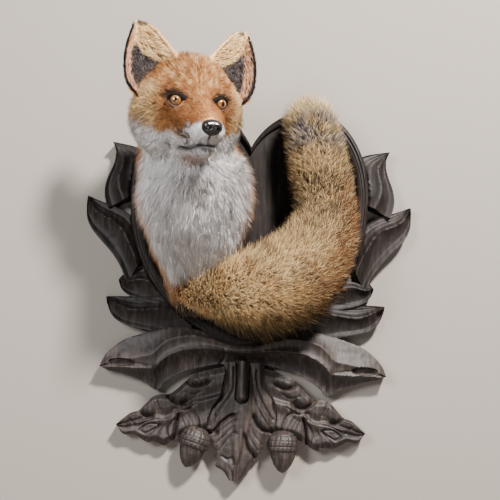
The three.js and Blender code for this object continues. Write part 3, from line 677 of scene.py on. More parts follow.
def ear_hide(side):
    """Closed leaf of hide, thin at its rim."""
    height, across = np.meshgrid(
        np.linspace(0, 1, EAR_ROWS + 1), np.linspace(0, 1, EAR_COLUMNS + 1), indexing="ij")
    place, rear, _, _ = ear_frame(height, across, side)
    share = ear_thickness(height, across)[..., None]
    sheets = [place + rear * (EAR_SET_BACK - EAR_TO_FRONT * share) * MM,
              place + rear * (EAR_SET_BACK + EAR_TO_REAR * share) * MM]
    points = np.concatenate([sheet.reshape(-1, 3) for sheet in sheets])
    wide, offset = EAR_COLUMNS + 1, (EAR_ROWS + 1) * (EAR_COLUMNS + 1)
    front = grid_quads(EAR_ROWS, EAR_COLUMNS)
    rearward = front[:, [0, 3, 2, 1]] + offset
    border = np.concatenate([
        np.arange(EAR_COLUMNS), np.arange(EAR_ROWS) * wide + EAR_COLUMNS,
        EAR_ROWS * wide + np.arange(EAR_COLUMNS, 0, -1), np.arange(EAR_ROWS, 0, -1) * wide])
    after = np.roll(border, -1)
    edge = np.stack([border, border + offset, after + offset, after], -1)
    faces = np.concatenate([front, rearward, edge])
    return face_outwards(object_of("ear_hide", points, faces if side > 0 else faces[:, ::-1]))


def join_to(piece, others):
    """Makes one closed body of a piece and others that run into it."""
    for other in others:
        only(piece)
        union = piece.modifiers.new("union", "BOOLEAN")
        union.operation = "UNION"
        union.solver = "EXACT"
        union.object = other
        bpy.ops.object.modifier_apply(modifier=union.name)
        bpy.data.objects.remove(other)
    return piece


# ------------------------------------------------------------------- lie of the coat

def across_surface(direction, normal):
    return unit(direction - (direction * normal).sum(-1, keepdims=True) * normal)


def head_lie(q):
    """The way the hair lies on the head, in its own frame."""
    x, y, z = np.abs(q[:, 0]), q[:, 1], q[:, 2]
    lie = np.array([0.12, 1, 0]) * np.ones_like(q)
    ways = [
        ([0.45, 0.9, 0.3], span(8, 26, x) * span(-4, 14, z)),  # the temple
        ([0.5, 0.6, -0.75], span(18, 40, x) * span(6, -16, z)),  # the cheek
        ([0.05, 1, -0.25], span(-46, -56, z) * span(30, 16, x)),  # under the jaw
        ([0.35, 0.15, -1], span(46, 72, y) * span(30, 8, z)),  # the ruff
    ]
    for way, share in ways:
        lie = mix(lie, np.array(way), share[:, None])
    side = np.sign(q[:, :1])
    return lie * np.concatenate([side, np.ones_like(side), np.ones_like(side)], -1)


def lie_of_coat(p, normal, in_brush):
    q = into_head(p)
    on_head = head_lie(q) @ HEAD_AXES.T
    across, _ = neck_side(p)
    on_neck = np.stack([0.14 * across, 2.5 * smooth(0.1, 0.6, normal[:, 2]), -np.ones(len(p))], -1)
    to_neck = span(-8, 8, head_form(q) - neck_form(p))[:, None]
    lie = mix(on_head, on_neck, to_neck)
    t = nearest_on_brush(p)
    tangent = np.stack([np.interp(t, brush_t, brush_tangents[:, i]) for i in range(3)], -1)
    lie = np.where(in_brush[:, None], tangent, lie)
    stray = np.where(in_brush, 0.5, 0.2)[:, None]
    return across_surface(lie + stray * wander(p, 10 * MM, 41), normal)


# Millimetres of hair on each part, and degrees that it stands off the skin there.
LENGTH = {"muzzle": 4.0, "face": 8.5, "behind": 12, "cheek": 19, "jaw": 14, "crown": 15, "neck": 29}
RISE = {"muzzle": 19, "face": 32, "cheek": 36, "crown": 38, "neck": 18, "ruff": 42, "bib": 32, "brush": 58}
# Millimetres across a tuft, short, long, on the neck, on the brush and at the brush's tip.
WIDTH = {"short": 0.56, "long": 0.78, "neck": 0.64, "brush": 0.88, "tip": 0.7}
# How much of the brush's thickness outside its core the hair spans, and the millimetres
# that it is longer at the tip and in the fringe under the root.
BRUSH_REACH, TIP_EXTRA, FRINGE_EXTRA = 1.38, 13, 22


class Hair:
    """The length, width, rise from the skin, sway and fade of the hair at each root."""

    def __init__(self, p, in_brush):
        q = into_head(p)
        x, y, z = np.abs(q[:, 0]), q[:, 1], q[:, 2]
        to_neck = span(-6, 14, head_form(q) - neck_form(p))
        side = span(26, 48, x) * span(14, -14, z) * span(8, 40, y)
        crown = span(26, 46, z) * span(14, 40, y) * (1 - to_neck)
        length = mix(LENGTH["muzzle"], LENGTH["face"], span(-34, 16, y))
        length = mix(length, LENGTH["behind"], span(30, 60, y))
        length = mix(length, LENGTH["cheek"], side)
        length = mix(length, LENGTH["jaw"], span(-42, -58, z) * span(0, 30, y))
        length = mix(length, LENGTH["neck"], to_neck)
        length = mix(length, LENGTH["crown"], crown) * mix(0.45, 1, span(-118, -86, p[:, 2]))
        rise = mix(mix(RISE["muzzle"], RISE["face"], span(-20, 30, y)), RISE["neck"], to_neck)
        rise = mix(rise, RISE["crown"], crown)
        rise = mix(rise, RISE["cheek"], span(26, 46, x) * (1 - to_neck))
        beside = smooth(0.55, 0.85, np.abs(neck_side(p)[0]))
        rise = mix(rise, RISE["ruff"], to_neck * span(-20, 10, p[:, 2]) * beside)
        rise = mix(rise, RISE["bib"], to_neck * span(-35, -85, p[:, 2]))
        width = mix(mix(WIDTH["short"], WIDTH["long"], smooth(5, 18, length)), WIDTH["neck"], to_neck)
        t = nearest_on_brush(p)
        at_tip = smooth(0.88, 1, t)
        outward = unit(p - brush_curve(t))
        fringe = smooth(-0.45, -0.8, outward[:, 2]) * smooth(-0.1, 0.4, outward[:, 1])
        half = np.interp(t, brush_t, brush_radii) / MM
        tail = BRUSH_REACH * (1 - BRUSH_CORE) * half + TIP_EXTRA * at_tip
        tail = tail + FRINGE_EXTRA * fringe * smooth(0.5, 0.38, t) * smooth(0.08, 0.2, t)
        white = span(-18, -30, z) * span(-20, 10, y)
        self.length = np.where(in_brush, tail, length) * MM
        self.rise = np.radians(np.where(in_brush, RISE["brush"], rise))
        self.width = np.where(in_brush, mix(WIDTH["brush"], WIDTH["tip"], at_tip), width) * MM
        self.sway = np.where(in_brush, 0.3, mix(0.12, 0.2, smooth(8, 20, length)))
        self.fade = np.where(in_brush, 1.7, mix(1.1, 0.5, np.maximum(to_neck, white)))


# Tufts on each part, and how much closer they grow on the muzzle than on the cheeks.
HEAD_TUFTS, NECK_TUFTS, BRUSH_TUFTS, EAR_TUFTS = 44000, 48000, 45000, 6500
MUZZLE_SHARE, CHEEK_SHARE = 2.1, 1.0
QUICK_SHARE, QUICK_WIDTH = 0.3, 1.7
QUICK_EAR_DIVISOR, QUICK_EAR_WIDTH = 3, 1.6


NOSE_PLACE = np.array([0, -69, -27]) * MM
NOSE_REACH = np.array([12.5, 9, 10.5]) * MM


def root_density(p, normal):
    """How thickly the coat grows at places on the skin: thinner where it faces the wall."""
    q = into_head(p)
    x, y, z = np.abs(q[:, 0]), q[:, 1], q[:, 2]
    density = mix(MUZZLE_SHARE, CHEEK_SHARE, span(-30, 20, y))
    density = density * mix(1, 0.45, smooth(0.25, 0.75, normal[:, 1]))
    bare_nose = np.linalg.norm((q - NOSE_PLACE) / NOSE_REACH, axis=-1) < 1
    eye = fold(q) - EYE_PLACE
    over = eye[:, 0] * math.cos(LID_TILT) + eye[:, 2] * math.sin(LID_TILT)
    rise = eye[:, 2] * math.cos(LID_TILT) - eye[:, 0] * math.sin(LID_TILT)
    bare_eye = np.hypot(over / np.where(over < 0, 15, 11.5), rise / 8.0) < 1 * MM
    bare_eye &= np.abs(eye[:, 1]) < 14 * MM
    lip_gap = mix(2.4 * MM, 1.3 * MM, span(-52, -40, y))
    bare_lip = (np.abs(z - lip_height(y)) < lip_gap) & (y < 5 * MM)
    bare_lip |= (x < 1.5 * MM) & (y < -58 * MM) & (z < -35 * MM) & (z > -46 * MM)
    bare_back = p[:, 1] > -PANEL_FRONT - 1.5 * MM
    return np.where(bare_nose | bare_eye | bare_lip | bare_back, 0, density)


class Roots:
    """Places on the skin where hair grows, each with its place on an unwrap of the skin."""

    def __init__(self, place, unwrap):
        self.place = place
        self.unwrap = unwrap


def triangles_of(piece):
    mesh = piece.data
    mesh.calc_loop_triangles()
    corners = np.empty(len(mesh.loop_triangles) * 3, np.int32)
    mesh.loop_triangles.foreach_get("vertices", corners)
    return corners.reshape(-1, 3)


def unwrapped_patch(skin_points, triangles):
    """A patch of skin as a mesh of its own, unwrapped: its triangles' corners on the unwrap."""
    used, faces = np.unique(triangles, return_inverse=True)
    patch = object_of("patch", skin_points[used], faces.reshape(-1, 3))
    in_edit_mode(patch, lambda: bpy.ops.uv.smart_project(
        angle_limit=math.radians(66), island_margin=0.004))
    uv = np.empty(len(patch.data.loops) * 2, np.float32)
    patch.data.uv_layers.active.data.foreach_get("uv", uv)
    bpy.data.objects.remove(patch)
    return uv.reshape(-1, 3, 2).astype(float)


def scatter(skin_points, triangles, density, rng):
    """Random roots on a patch of skin, as many on each triangle as the density asks."""
    a, b, c = (skin_points[triangles[:, i]] for i in range(3))
    area = np.linalg.norm(np.cross(b - a, c - a), axis=-1) / 2 / MM ** 2
    expected = area * density
    count = (expected + rng.random(len(expected))).astype(int)
    which = np.repeat(np.arange(len(triangles)), count)
    u, v = rng.random(len(which)), rng.random(len(which))
    flip = u + v > 1
    u, v = np.where(flip, 1 - u, u)[:, None], np.where(flip, 1 - v, v)[:, None]
    uv = unwrapped_patch(skin_points, triangles)[which]
    place = a[which] * (1 - u - v) + b[which] * u + c[which] * v
    return Roots(place, uv[:, 0] * (1 - u - v) + uv[:, 1] * u + uv[:, 2] * v)


def locks(place, tip, rng, share, pull):
    """Draws the tips of neighbouring tufts together into locks."""
    centres = rng.choice(len(place), max(int(len(place) * share), 1), replace=False)
    tree = kdtree.KDTree(len(centres))
    for i, c in enumerate(centres):
        tree.insert(place[c], i)
    tree.balance()
    own = np.array([centres[tree.find(p)[1]] for p in place])
    gap = tip[own] - tip
    reach = np.linalg.norm(tip - place, axis=-1, keepdims=True)
    limit = np.minimum(1, 0.3 * reach / np.maximum(np.linalg.norm(gap, axis=-1, keepdims=True), 1e-9))
    return gap * limit * pull, own


# How much of the unwrap a tuft takes, and where along it its corners are.
TUFT_PATCH = 0.003
SHARES = np.array([0, 0.5, 1])


# How much the tufts of one part differ from each other in length, rise and width, how many
# millimetres their roots sit under the skin, and how flat and how thin at the root they are.
TUFT_LENGTHS, TUFT_RISES, TUFT_WIDTHS = (0.72, 1.12), (0.6, 1.4), (0.7, 1.25)
TUFT_SINK, TUFT_FLATNESS, TUFT_ROOT = 0.3, 0.42, 0.7
TUFT_BOW, TUFT_CURL = 0.55, 1.6


def tuft_faces():
    """The ten triangles of one tuft: its foot, two bands of three sides, and its point."""
    faces = [[0, 1, 2]]
    for a in range(3):
        b = (a + 1) % 3
        faces += [[a, a + 3, b + 3], [a, b + 3, b], [3 + a, 6, 3 + b]]
    return np.array(faces)


def tufts(name, roots, normal, lie, hair, colours, material, rng, clumping):
    """Closed three-sided tapered tufts as one piece, coloured from root to tip."""
    n = len(roots.place)
    side = np.cross(normal, lie)
    length = (hair.length * rng.uniform(*TUFT_LENGTHS, n))[:, None]
    rise = (hair.rise * rng.uniform(*TUFT_RISES, n))[:, None]
    sway = rng.normal(0, 1, (n, 1)) * hair.sway[:, None]
    tip = roots.place + length * (lie * np.cos(rise) + normal * np.sin(rise) + side * sway)
    pull, own = locks(roots.place, tip, rng, *clumping)
    width = (hair.width * rng.uniform(*TUFT_WIDTHS, n))[:, None]
    top = normal * np.cos(rise) - lie * np.sin(rise)
    rings = []
    for share in SHARES:
        lift = share * (1 + TUFT_BOW * (1 - share))
        centre = (roots.place - normal * TUFT_SINK * MM + length * (
            lie * np.cos(rise) * share + normal * np.sin(rise) * lift + side * sway * share ** 2)
            + pull * share ** TUFT_CURL)
        thin = width * (TUFT_ROOT + 0.3 * share)
        rings.append(np.stack([
            centre + side * thin / 2, centre + top * thin * TUFT_FLATNESS, centre - side * thin / 2], 1))
    points = np.concatenate([*rings[:-1], centre[:, None]], 1)
    points[..., 1] = np.minimum(points[..., 1], 0)  # nothing passes behind the wall
    faces = tuft_faces()
    all_faces = faces[None] + points.shape[1] * np.arange(n)[:, None, None]
    piece = object_of(name, points.reshape(-1, 3), all_faces.reshape(-1, 3))
    root_colour, tip_colour = colours(own)
    along = np.repeat(SHARES, [3, 3, 1])
    shade = (along[None] ** hair.fade[:, None])[..., None]
    shades = mix(root_colour[:, None], tip_colour[:, None], shade)
    store_colour(piece, "coat", shades.reshape(-1, 3))
    round_it = np.array([0, 0.5, 1] * 2 + [0.5])
    spot = (np.stack([round_it, along], -1) - 0.5) * TUFT_PATCH
    uv = np.clip(roots.unwrap[:, None] + spot[None], 0.001, 0.999)
    layer = piece.data.uv_layers.new(name="OFBake")
    layer.data.foreach_set("uv", uv[:, faces.ravel()].reshape(-1).astype(np.float32))
    return finish_piece(shade_smooth(piece), material=material)


def coat_colours(place, in_brush, hair, own, rng):
    """Root and tip colours of each tuft: one shade for each lock, and stray light and dark hairs."""
    n = len(place)
    base = coat_colour(place, in_brush)
    lock = dice(np.stack([own, own * 7, own * 3], -1), 51)
    spread = np.where(in_brush, 0.95, 0.62)
    tone = (0.99 + spread * (lock - 0.5) + rng.normal(0, 0.2, n))[:, None]
    tip = np.minimum(base * np.clip(tone, 0.35, 1.5), 0.95)
    chance = rng.random(n)
    long_hair = span(10, 22, hair.length)
    dark = chance < mix(0.06, np.where(in_brush, 0.26, 0.12), long_hair)
    pale = chance > mix(0.90, 0.80, long_hair)
    tip = np.where(dark[:, None], toward(tip, DARK, mix(0.5, 0.6, in_brush)), tip)
    whitish = smooth(0.4, 0.8, base[:, 2] / base[:, 0])
    frosted = np.where(in_brush[:, None], CREAM * 0.85, toward(CREAM * 0.9, PALE, whitish))
    tip = np.where(pale[:, None], toward(tip, frosted, 0.5), tip)
    # Roots are darker than tips: partly the underfur's own colour, partly painted shade between the hairs,
    # deepest in the brush.
    root = base * mix(0.55, np.where(in_brush, 0.16, 0.6), long_hair)[:, None]
    return root, tip


def sections(places, weight, count):
    """Parts of equal weight from a list of places, in order along it."""
    order = np.argsort(places, kind="stable")
    reached = np.cumsum(weight[order])
    which = np.minimum((reached / reached[-1] * count).astype(int), count - 1)
    return [order[which == i] for i in range(count)]


def grow_coat(skin_points, triangles, material):
    """The coat of the head, neck and brush, in pieces along each."""
    rng = np.random.default_rng(SEED)
    a, b, c = (skin_points[triangles[:, i]] for i in range(3))
    normal = np.cross(b - a, c - a) / 2
    area = np.linalg.norm(normal, axis=-1)
    middles = (a + b + c) / 3
    in_brush = on_the_brush(middles)
    q = into_head(middles)
    on_head = ~in_brush & (head_form(q) < neck_form(middles) + 2 * MM)
    density = root_density(middles, unit(normal))
    # Each part's name, its faces, the way along it, its tufts, pieces, slot, and how many of
    # its tufts lead a lock and how far they draw the others to them.
    kinds = [
        ("head", on_head, q[:, 1], HEAD_TUFTS, 4, "face_coat", (0.16, 0.4)),
        ("neck", ~in_brush & ~on_head, -middles[:, 2], NECK_TUFTS, 3, "bib_coat", (0.10, 0.42)),
        ("brush", in_brush, nearest_on_brush(middles), BRUSH_TUFTS, 3, "brush_coat", (0.22, 0.35)),
    ]
    for kind, part, key, count, pieces, slot, clumping in kinds:
        part = np.flatnonzero(part & (density > 0))
        weight = density[part] * area[part]
        thick = density[part] * count / weight.sum() * MM ** 2 * (1 if WHOLE_COAT else QUICK_SHARE)
        for number, chosen in enumerate(sections(key[part], weight, pieces)):
            roots = scatter(skin_points, triangles[part[chosen]], thick[chosen], rng)
            flags = np.full(len(roots.place), kind == "brush")
            slope = outer_slope(roots.place, kind)
            hair = Hair(roots.place, flags)
            if not WHOLE_COAT:
                hair.width *= QUICK_WIDTH
            lie = lie_of_coat(roots.place, slope, flags)
            tufts(f"coat_{kind}_{number + 1}", roots, slope, lie, hair,
                  lambda own: coat_colours(roots.place, flags, hair, own, rng),
                  material, rng, clumping)


def ear_colours(height, across, inner, outer, ahead, place):
    """Pale fur over a dark hollow in front, and black behind."""
    n = len(height)
    blotch = noise(place, 5 * MM, 62)
    hollow = toward(np.tile(DARK, (n, 1)), GREY, 0.3 * blotch)
    pale = np.maximum(inner, smooth(0.58, 0.74, height))
    front = toward(hollow, toward(CREAM, TAN, 0.7 * blotch), pale)
    front = toward(front, toward(PINK, TAN, blotch), 0.95 * outer)
    front = toward(front, TAN, 0.8 * smooth(0.07, 0.0, height))
    front = toward(front, BLACK, smooth(0.965, 0.985, across))
    flecks = 0.9 * smooth(0.84, 0.95, height) * smooth(0.35, 0.55, noise(place, 4 * MM, 63))
    front = toward(front, DARK, flecks)
    black = np.maximum(smooth(0.0, 0.16, across), smooth(0.75, 0.88, height))
    black = smooth(0.02, 0.2, height) * black
    behind = toward(toward(np.tile(ORANGE, (n, 1)), TAN, blotch), BLACK, black)
    return np.where(ahead[:, None], front, behind)


def ear_coat(side, material):
    """Fur on both faces of an ear, with longer pale tufts from its inner rim."""
    rng = np.random.default_rng(SEED + side)
    n = EAR_TUFTS if WHOLE_COAT else EAR_TUFTS // QUICK_EAR_DIVISOR
    height, across = 0.99 * rng.random(n) ** 1.1, 0.01 + 0.98 * rng.random(n)
    ahead = rng.random(n) < 0.6
    at_rim = rng.random(n) < 0.3
    at_edge = np.where(rng.random(n) < 0.5, 0.02 * across, 1 - 0.02 * across)
    across = np.where(at_rim, at_edge, across)
    place, rear, up, over = ear_frame(height, across, side)
    depth = np.where(ahead, -EAR_TO_FRONT, EAR_TO_REAR) * ear_thickness(height, across)
    place = place + rear * (EAR_SET_BACK + depth)[:, None] * MM
    normal = np.where(ahead[:, None], -rear, rear)
    # The dark hollow narrows from the foot of the ear to two thirds of its height.
    left, right = mix(0.0, 0.5, height / 0.65), mix(0.82, 0.68, height / 0.65)
    inner, outer = smooth(left + 0.05, left - 0.08, across), smooth(right - 0.03, right + 0.06, across)
    turn = np.where(ahead, 0.7 * inner - 0.3 * outer, 0)
    turn = np.where(at_rim, np.sign(across - 0.5) * 0.4, turn)
    lie = up + over * turn[:, None] + 0.3 * wander(place, 6 * MM, 61)
    low = smooth(0, 0.4, height)
    hair = Hair(place, np.zeros(n, bool))
    front_length = mix(mix(6.5, mix(13, 8, height), inner), 6.5, outer)
    hair.length = np.where(ahead, front_length, mix(9, 5, low)) * MM
    hair.length = np.where(at_rim, mix(12, 5, low) * MM, hair.length)
    hair.fade = np.full(n, 0.8)
    hair.rise = np.radians(np.where(at_rim, 10, np.where(ahead, mix(24, 17, inner), 17)))
    hair.width = np.where(ahead, mix(0.55, 0.75, inner), 0.7) * MM * (1 if WHOLE_COAT else QUICK_EAR_WIDTH)
    hair.sway = np.full(n, 0.28)
    base = ear_colours(height, across, inner, outer, ahead, place)
    tone = np.clip(1 + rng.normal(0, 0.12, n), 0.6, 1.3)[:, None]
    unwrap = np.stack([0.02 + 0.46 * across + 0.5 * ~ahead, 0.02 + 0.96 * height], -1)
    # Roots are darker than tips: partly the hair's own colour, partly painted shade between the hairs.
    tufts(f"coat_ear_{word_of(side)}", Roots(place, unwrap), normal, across_surface(lie, normal),
          hair, lambda own: (base * 0.72, np.minimum(base * tone, 0.95)),
          material, rng, (0.2, 0.5))


def outer_slope(p, kind):
    """The way straight out of the brush, or of the head and neck, at places on their skin."""
    if kind == "brush":
        slope, _ = slope_of(lambda place: brush_form(place, BRUSH_CORE), p)
    else:
        slope, _ = slope_of(body_form, p, 2 * MM)
    return unit(slope)


# -------------------------------------------------------------------------- materials

def fill(tree, made, **values):
    """A node's inputs by name, each with its value or what feeds it, and its other settings."""
    for key, value in values.items():
        socket = key.replace("_", " ")
        if socket not in made.inputs:
            setattr(made, key, value)
        elif isinstance(value, bpy.types.NodeSocket):
            tree.links.new(value, made.inputs[socket])
        else:
            made.inputs[socket].default_value = value
    return made


def node(tree, kind, **values):
    return fill(tree, tree.nodes.new(kind), **values)


def shader(name, **values):
    """A Principled material, its node tree and its surface to build on."""
    material = bpy.data.materials.new(name)
    material.use_nodes = True
    tree = material.node_tree
    return material, tree, fill(tree, tree.nodes["Principled BSDF"], **values)


def node_group(name, inputs, outputs):
    """An empty effect for more than one material, with named sockets, and its two ends."""
    tree = bpy.data.node_groups.new(name, "ShaderNodeTree")
    for way, sockets in (("INPUT", inputs), ("OUTPUT", outputs)):
        for socket, kind in sockets.items():
            tree.interface.new_socket(name=socket, in_out=way, socket_type=f"NodeSocket{kind}")
    return tree, tree.nodes.new("NodeGroupInput").outputs, tree.nodes.new("NodeGroupOutput")


def even(level):
    return (level,) * 3


def ramp(tree, source, stops):
    """A colour ramp on a value, from pairs of place and colour."""
    made = node(tree, "ShaderNodeValToRGB", Fac=source)
    elements = made.color_ramp.elements
    while len(elements) < len(stops):
        elements.new(0.5)
    for element, (place, colour) in zip(elements, stops):
        element.position = place
        element.color = (*colour, 1)
    return made.outputs["Color"]


def bump(tree, surface, height, strength, distance):
    made = node(tree, "ShaderNodeBump", Strength=strength, Distance=distance, Height=height)
    fill(tree, surface, Normal=made.outputs["Normal"])


def noise_of(tree, scale, detail=3, squash=None):
    place = node(tree, "ShaderNodeTexCoord").outputs["Object"]
    if squash:
        place = node(tree, "ShaderNodeMapping", Scale=squash, Vector=place).outputs["Vector"]
    made = node(tree, "ShaderNodeTexNoise", Scale=scale, Detail=detail, Vector=place)
    return made.outputs["Fac"]


def multiply(tree, a, b):
    made = node(tree, "ShaderNodeMix", data_type="RGBA", blend_type="MULTIPLY", Factor=1.0)
    tree.links.new(a, made.inputs[6])
    tree.links.new(b, made.inputs[7])
    return made.outputs[2]


def stored(tree, name, output="Color"):
    return node(tree, "ShaderNodeAttribute", attribute_name=name).outputs[output]


def fleck_group():
    """Fine flecks: a colour darkened by them, and the flecks themselves for a bump."""
    tree, given, result = node_group(
        "fleck", {"Colour": "Color", "Scale": "Float", "Detail": "Float", "Darkest": "Float"},
        {"Colour": "Color", "Fleck": "Float"})
    flecks = noise_of(tree, given["Scale"], given["Detail"])
    shade = node(tree, "ShaderNodeMapRange", Value=flecks, From_Min=0.3, From_Max=0.7,
                 To_Min=given["Darkest"], To_Max=1.0)
    fill(tree, result, Colour=multiply(tree, given["Colour"], shade.outputs["Result"]), Fleck=flecks)
    return tree


def wood_group():
    """Stained wood in a given tone: its worn grain, its roughness and its tooling for a bump."""
    tree, given, result = node_group(
        "stained_wood", {"Tone": "Float"}, {"Colour": "Color", "Roughness": "Float", "Tooling": "Float"})
    grain = noise_of(tree, 90, 6, squash=(3.0, 1.0, 0.35))
    stain = ramp(tree, grain, [
        (0.25, paint(27, 22, 20)), (0.5, paint(50, 42, 38)), (0.8, paint(80, 70, 65))])
    worn = ramp(tree, noise_of(tree, 22), [(0.35, even(0.62)), (0.7, even(1.0))])
    rough = node(tree, "ShaderNodeMapRange", Value=grain, To_Min=0.42, To_Max=0.66)
    fill(tree, result, Colour=multiply(tree, multiply(tree, stain, given["Tone"]), worn),
         Roughness=rough.outputs["Result"], Tooling=noise_of(tree, 420, squash=(2.4, 1.0, 0.3)))
    return tree


FLECK, WOOD = fleck_group(), wood_group()


def flecked(tree, colour, scale, detail, darkest):
    made = node(tree, "ShaderNodeGroup", node_tree=FLECK, Colour=colour, Scale=scale, Detail=detail,
                Darkest=darkest)
    return made.outputs["Colour"], made.outputs["Fleck"]


def fur_material():
    material, tree, surface = shader("fox_fur", Roughness=0.75, Specular_IOR_Level=0.1)
    colour, _ = flecked(tree, stored(tree, "coat"), 900, 3, 0.86)
    fill(tree, surface, Base_Color=colour)
    return material


def skin_material():
    material, tree, surface = shader("fox_skin_under_coat", Roughness=0.8, Specular_IOR_Level=0.2)
    colour, fleck = flecked(tree, stored(tree, "coat"), 1400, 4, 0.72)
    fill(tree, surface, Base_Color=colour)
    bump(tree, surface, fleck, 0.6, 0.4 * MM)
    return material


def lid_material():
    material, tree, surface = shader("eyelid_hide", Roughness=0.9, Specular_IOR_Level=0.05)
    colour, fleck = flecked(tree, stored(tree, "coat"), 1800, 3, 1.0)
    fill(tree, surface, Base_Color=colour)
    bump(tree, surface, fleck, 0.35, 0.2 * MM)
    return material


def nose_material():
    material, tree, surface = shader(
        "nose_lacquer", Roughness=0.2, Specular_IOR_Level=0.2, Coat_Weight=0.25, Coat_Roughness=0.06)
    place = node(tree, "ShaderNodeTexCoord").outputs["Object"]
    cells = node(tree, "ShaderNodeTexVoronoi", Scale=1100, Vector=place).outputs["Distance"]
    tone = ramp(tree, cells, [(0.0, (0.016, 0.014, 0.015)), (1.0, (0.006, 0.005, 0.006))])
    fill(tree, surface, Base_Color=tone)
    bump(tree, surface, cells, 0.35, 0.4 * MM)
    return material


# The iris from its middle to its rim, as shares of 9 mm round the gaze, and the half
# width and half height of the slit of the pupil, in millimetres.
IRIS = [(0.0, paint(62, 30, 12)), (0.28, paint(98, 60, 30)), (0.52, paint(126, 88, 44)),
        (0.62, paint(84, 46, 18)), (0.7, paint(20, 13, 10)), (1.0, paint(12, 9, 9))]
IRIS_REACH, PUPIL_HALF = 9.0, (1.35, 2.9)


def calc(tree, operation, *values):
    made = node(tree, "ShaderNodeMath", operation=operation)
    for socket, value in zip(made.inputs, values):
        if isinstance(value, bpy.types.NodeSocket):
            tree.links.new(value, socket)
        else:
            socket.default_value = value
    return made.outputs["Value"]


def sum_of_squares(tree, a, b):
    return calc(tree, "ADD", calc(tree, "MULTIPLY", a, a), calc(tree, "MULTIPLY", b, b))


def eye_material():
    """Painted iris behind clear glass. The stored place is in millimetres round the gaze."""
    material, tree, surface = shader(
        "glass_eye", Roughness=0.08, Specular_IOR_Level=0.6, Coat_Weight=1.0, Coat_Roughness=0.02)
    split = node(tree, "ShaderNodeSeparateXYZ", Vector=stored(tree, "gaze", "Vector"))
    across, up = split.outputs["X"], split.outputs["Y"]
    radius = calc(tree, "SQRT", sum_of_squares(tree, across, up))
    iris = ramp(tree, calc(tree, "DIVIDE", radius, IRIS_REACH), IRIS)
    rays = node(tree, "ShaderNodeCombineXYZ",
                X=calc(tree, "MULTIPLY", calc(tree, "ARCTAN2", across, up), 9.0),
                Y=calc(tree, "MULTIPLY", radius, 0.35)).outputs["Vector"]
    fibre = node(tree, "ShaderNodeTexNoise", Scale=1.6, Detail=3, Vector=rays).outputs["Fac"]
    fibres = ramp(tree, fibre, [(0.3, even(0.62)), (0.7, even(1.0))])
    slit = sum_of_squares(tree, *(
        calc(tree, "DIVIDE", way, half) for way, half in zip((across, up), PUPIL_HALF)))
    pupil = ramp(tree, slit, [(0.72, (0.012, 0.009, 0.008)), (1.0, even(1.0))])
    fill(tree, surface, Base_Color=multiply(tree, multiply(tree, iris, fibres), pupil))
    return material


def wood_material(name, tone, gloss):
    material, tree, surface = shader(name, Specular_IOR_Level=gloss)
    wood = node(tree, "ShaderNodeGroup", node_tree=WOOD, Tone=tone).outputs
    fill(tree, surface, Base_Color=wood["Colour"], Roughness=wood["Roughness"])
    bump(tree, surface, wood["Tooling"], 0.5, 0.35 * MM)
    return material


def plain_material(name, colour, roughness):
    """A stage surface that is see-through from behind."""
    material, tree, surface = shader(name, Roughness=roughness)
    tone, _ = flecked(tree, (*colour, 1), 3, 2, 0.97)
    fill(tree, surface, Base_Color=tone)
    behind = node(tree, "ShaderNodeNewGeometry").outputs["Backfacing"]
    either = node(tree, "ShaderNodeMixShader", Fac=behind)
    tree.links.new(surface.outputs["BSDF"], either.inputs[1])
    tree.links.new(node(tree, "ShaderNodeBsdfTransparent").outputs["BSDF"], either.inputs[2])
    fill(tree, tree.nodes["Material Output"], Surface=either.outputs["Shader"])
    return material


# ----------------------------------------------------------------------- eyes and nose

# How far the eyes look outwards and up from straight ahead.
GAZE_OUT, GAZE_UP = math.radians(17), math.radians(2)


def gaze_axes(side):
    """The eye's own way across (outwards), up and forward, in world axes."""
    forward = np.array([side * math.sin(GAZE_OUT) * math.cos(GAZE_UP),
                        -math.cos(GAZE_OUT) * math.cos(GAZE_UP), math.sin(GAZE_UP)])
    outward = unit(np.cross(forward, [0, 0, 1])) * -side
    up = unit(np.cross(forward, outward)) * side
    return outward @ HEAD_AXES.T, up @ HEAD_AXES.T, forward @ HEAD_AXES.T


def glass_eye(side, material):
    """A glass ball with a slight bulge before its iris."""
    word = word_of(side)
    centre = from_head(EYE_PLACE * [side, 1, 1])
    across, up, forward = gaze_axes(side)
    bpy.ops.mesh.primitive_uv_sphere_add(segments=72, ring_count=48, radius=EYE_RADIUS)
    eye = bpy.context.active_object
    eye.name = eye.data.name = f"glass_eye_{word}"
    local = corners_of(eye)
    bulge = 1 + 0.05 * smooth(0.72, 1.0, local[:, 2] / EYE_RADIUS)
    from_centre = (local * bulge[:, None]) @ np.array([across * side, up, forward])
    set_corners(eye, from_centre + centre)
    store_vector(eye, "gaze", from_centre @ np.stack([across, up, 0 * up], -1) / MM)
    face_outwards(eye)
    return finish_piece(shade_smooth(eye), [f"eye_{word}"], material)


# The lids: half the width and height of the opening and of the hide round it. Their rings go over
# the glass, by the opening's share and the rise off the glass in millimetres, and then outwards, by
# the share of the way and the lift.
LID_STEPS = 72
LID_HALF = np.array([7.9, 5.9]) * MM
LID_OUTER = np.array([14.8, 9.2]) * MM
LID_ROLL = ((0.97, -0.5), (1, 0.35), (1.04, 1.1), (1.14, 1.5))
LID_SPREAD = ((0.25, 1.0), (0.5, 0.9), (0.75, 0.5), (1.0, -0.5))


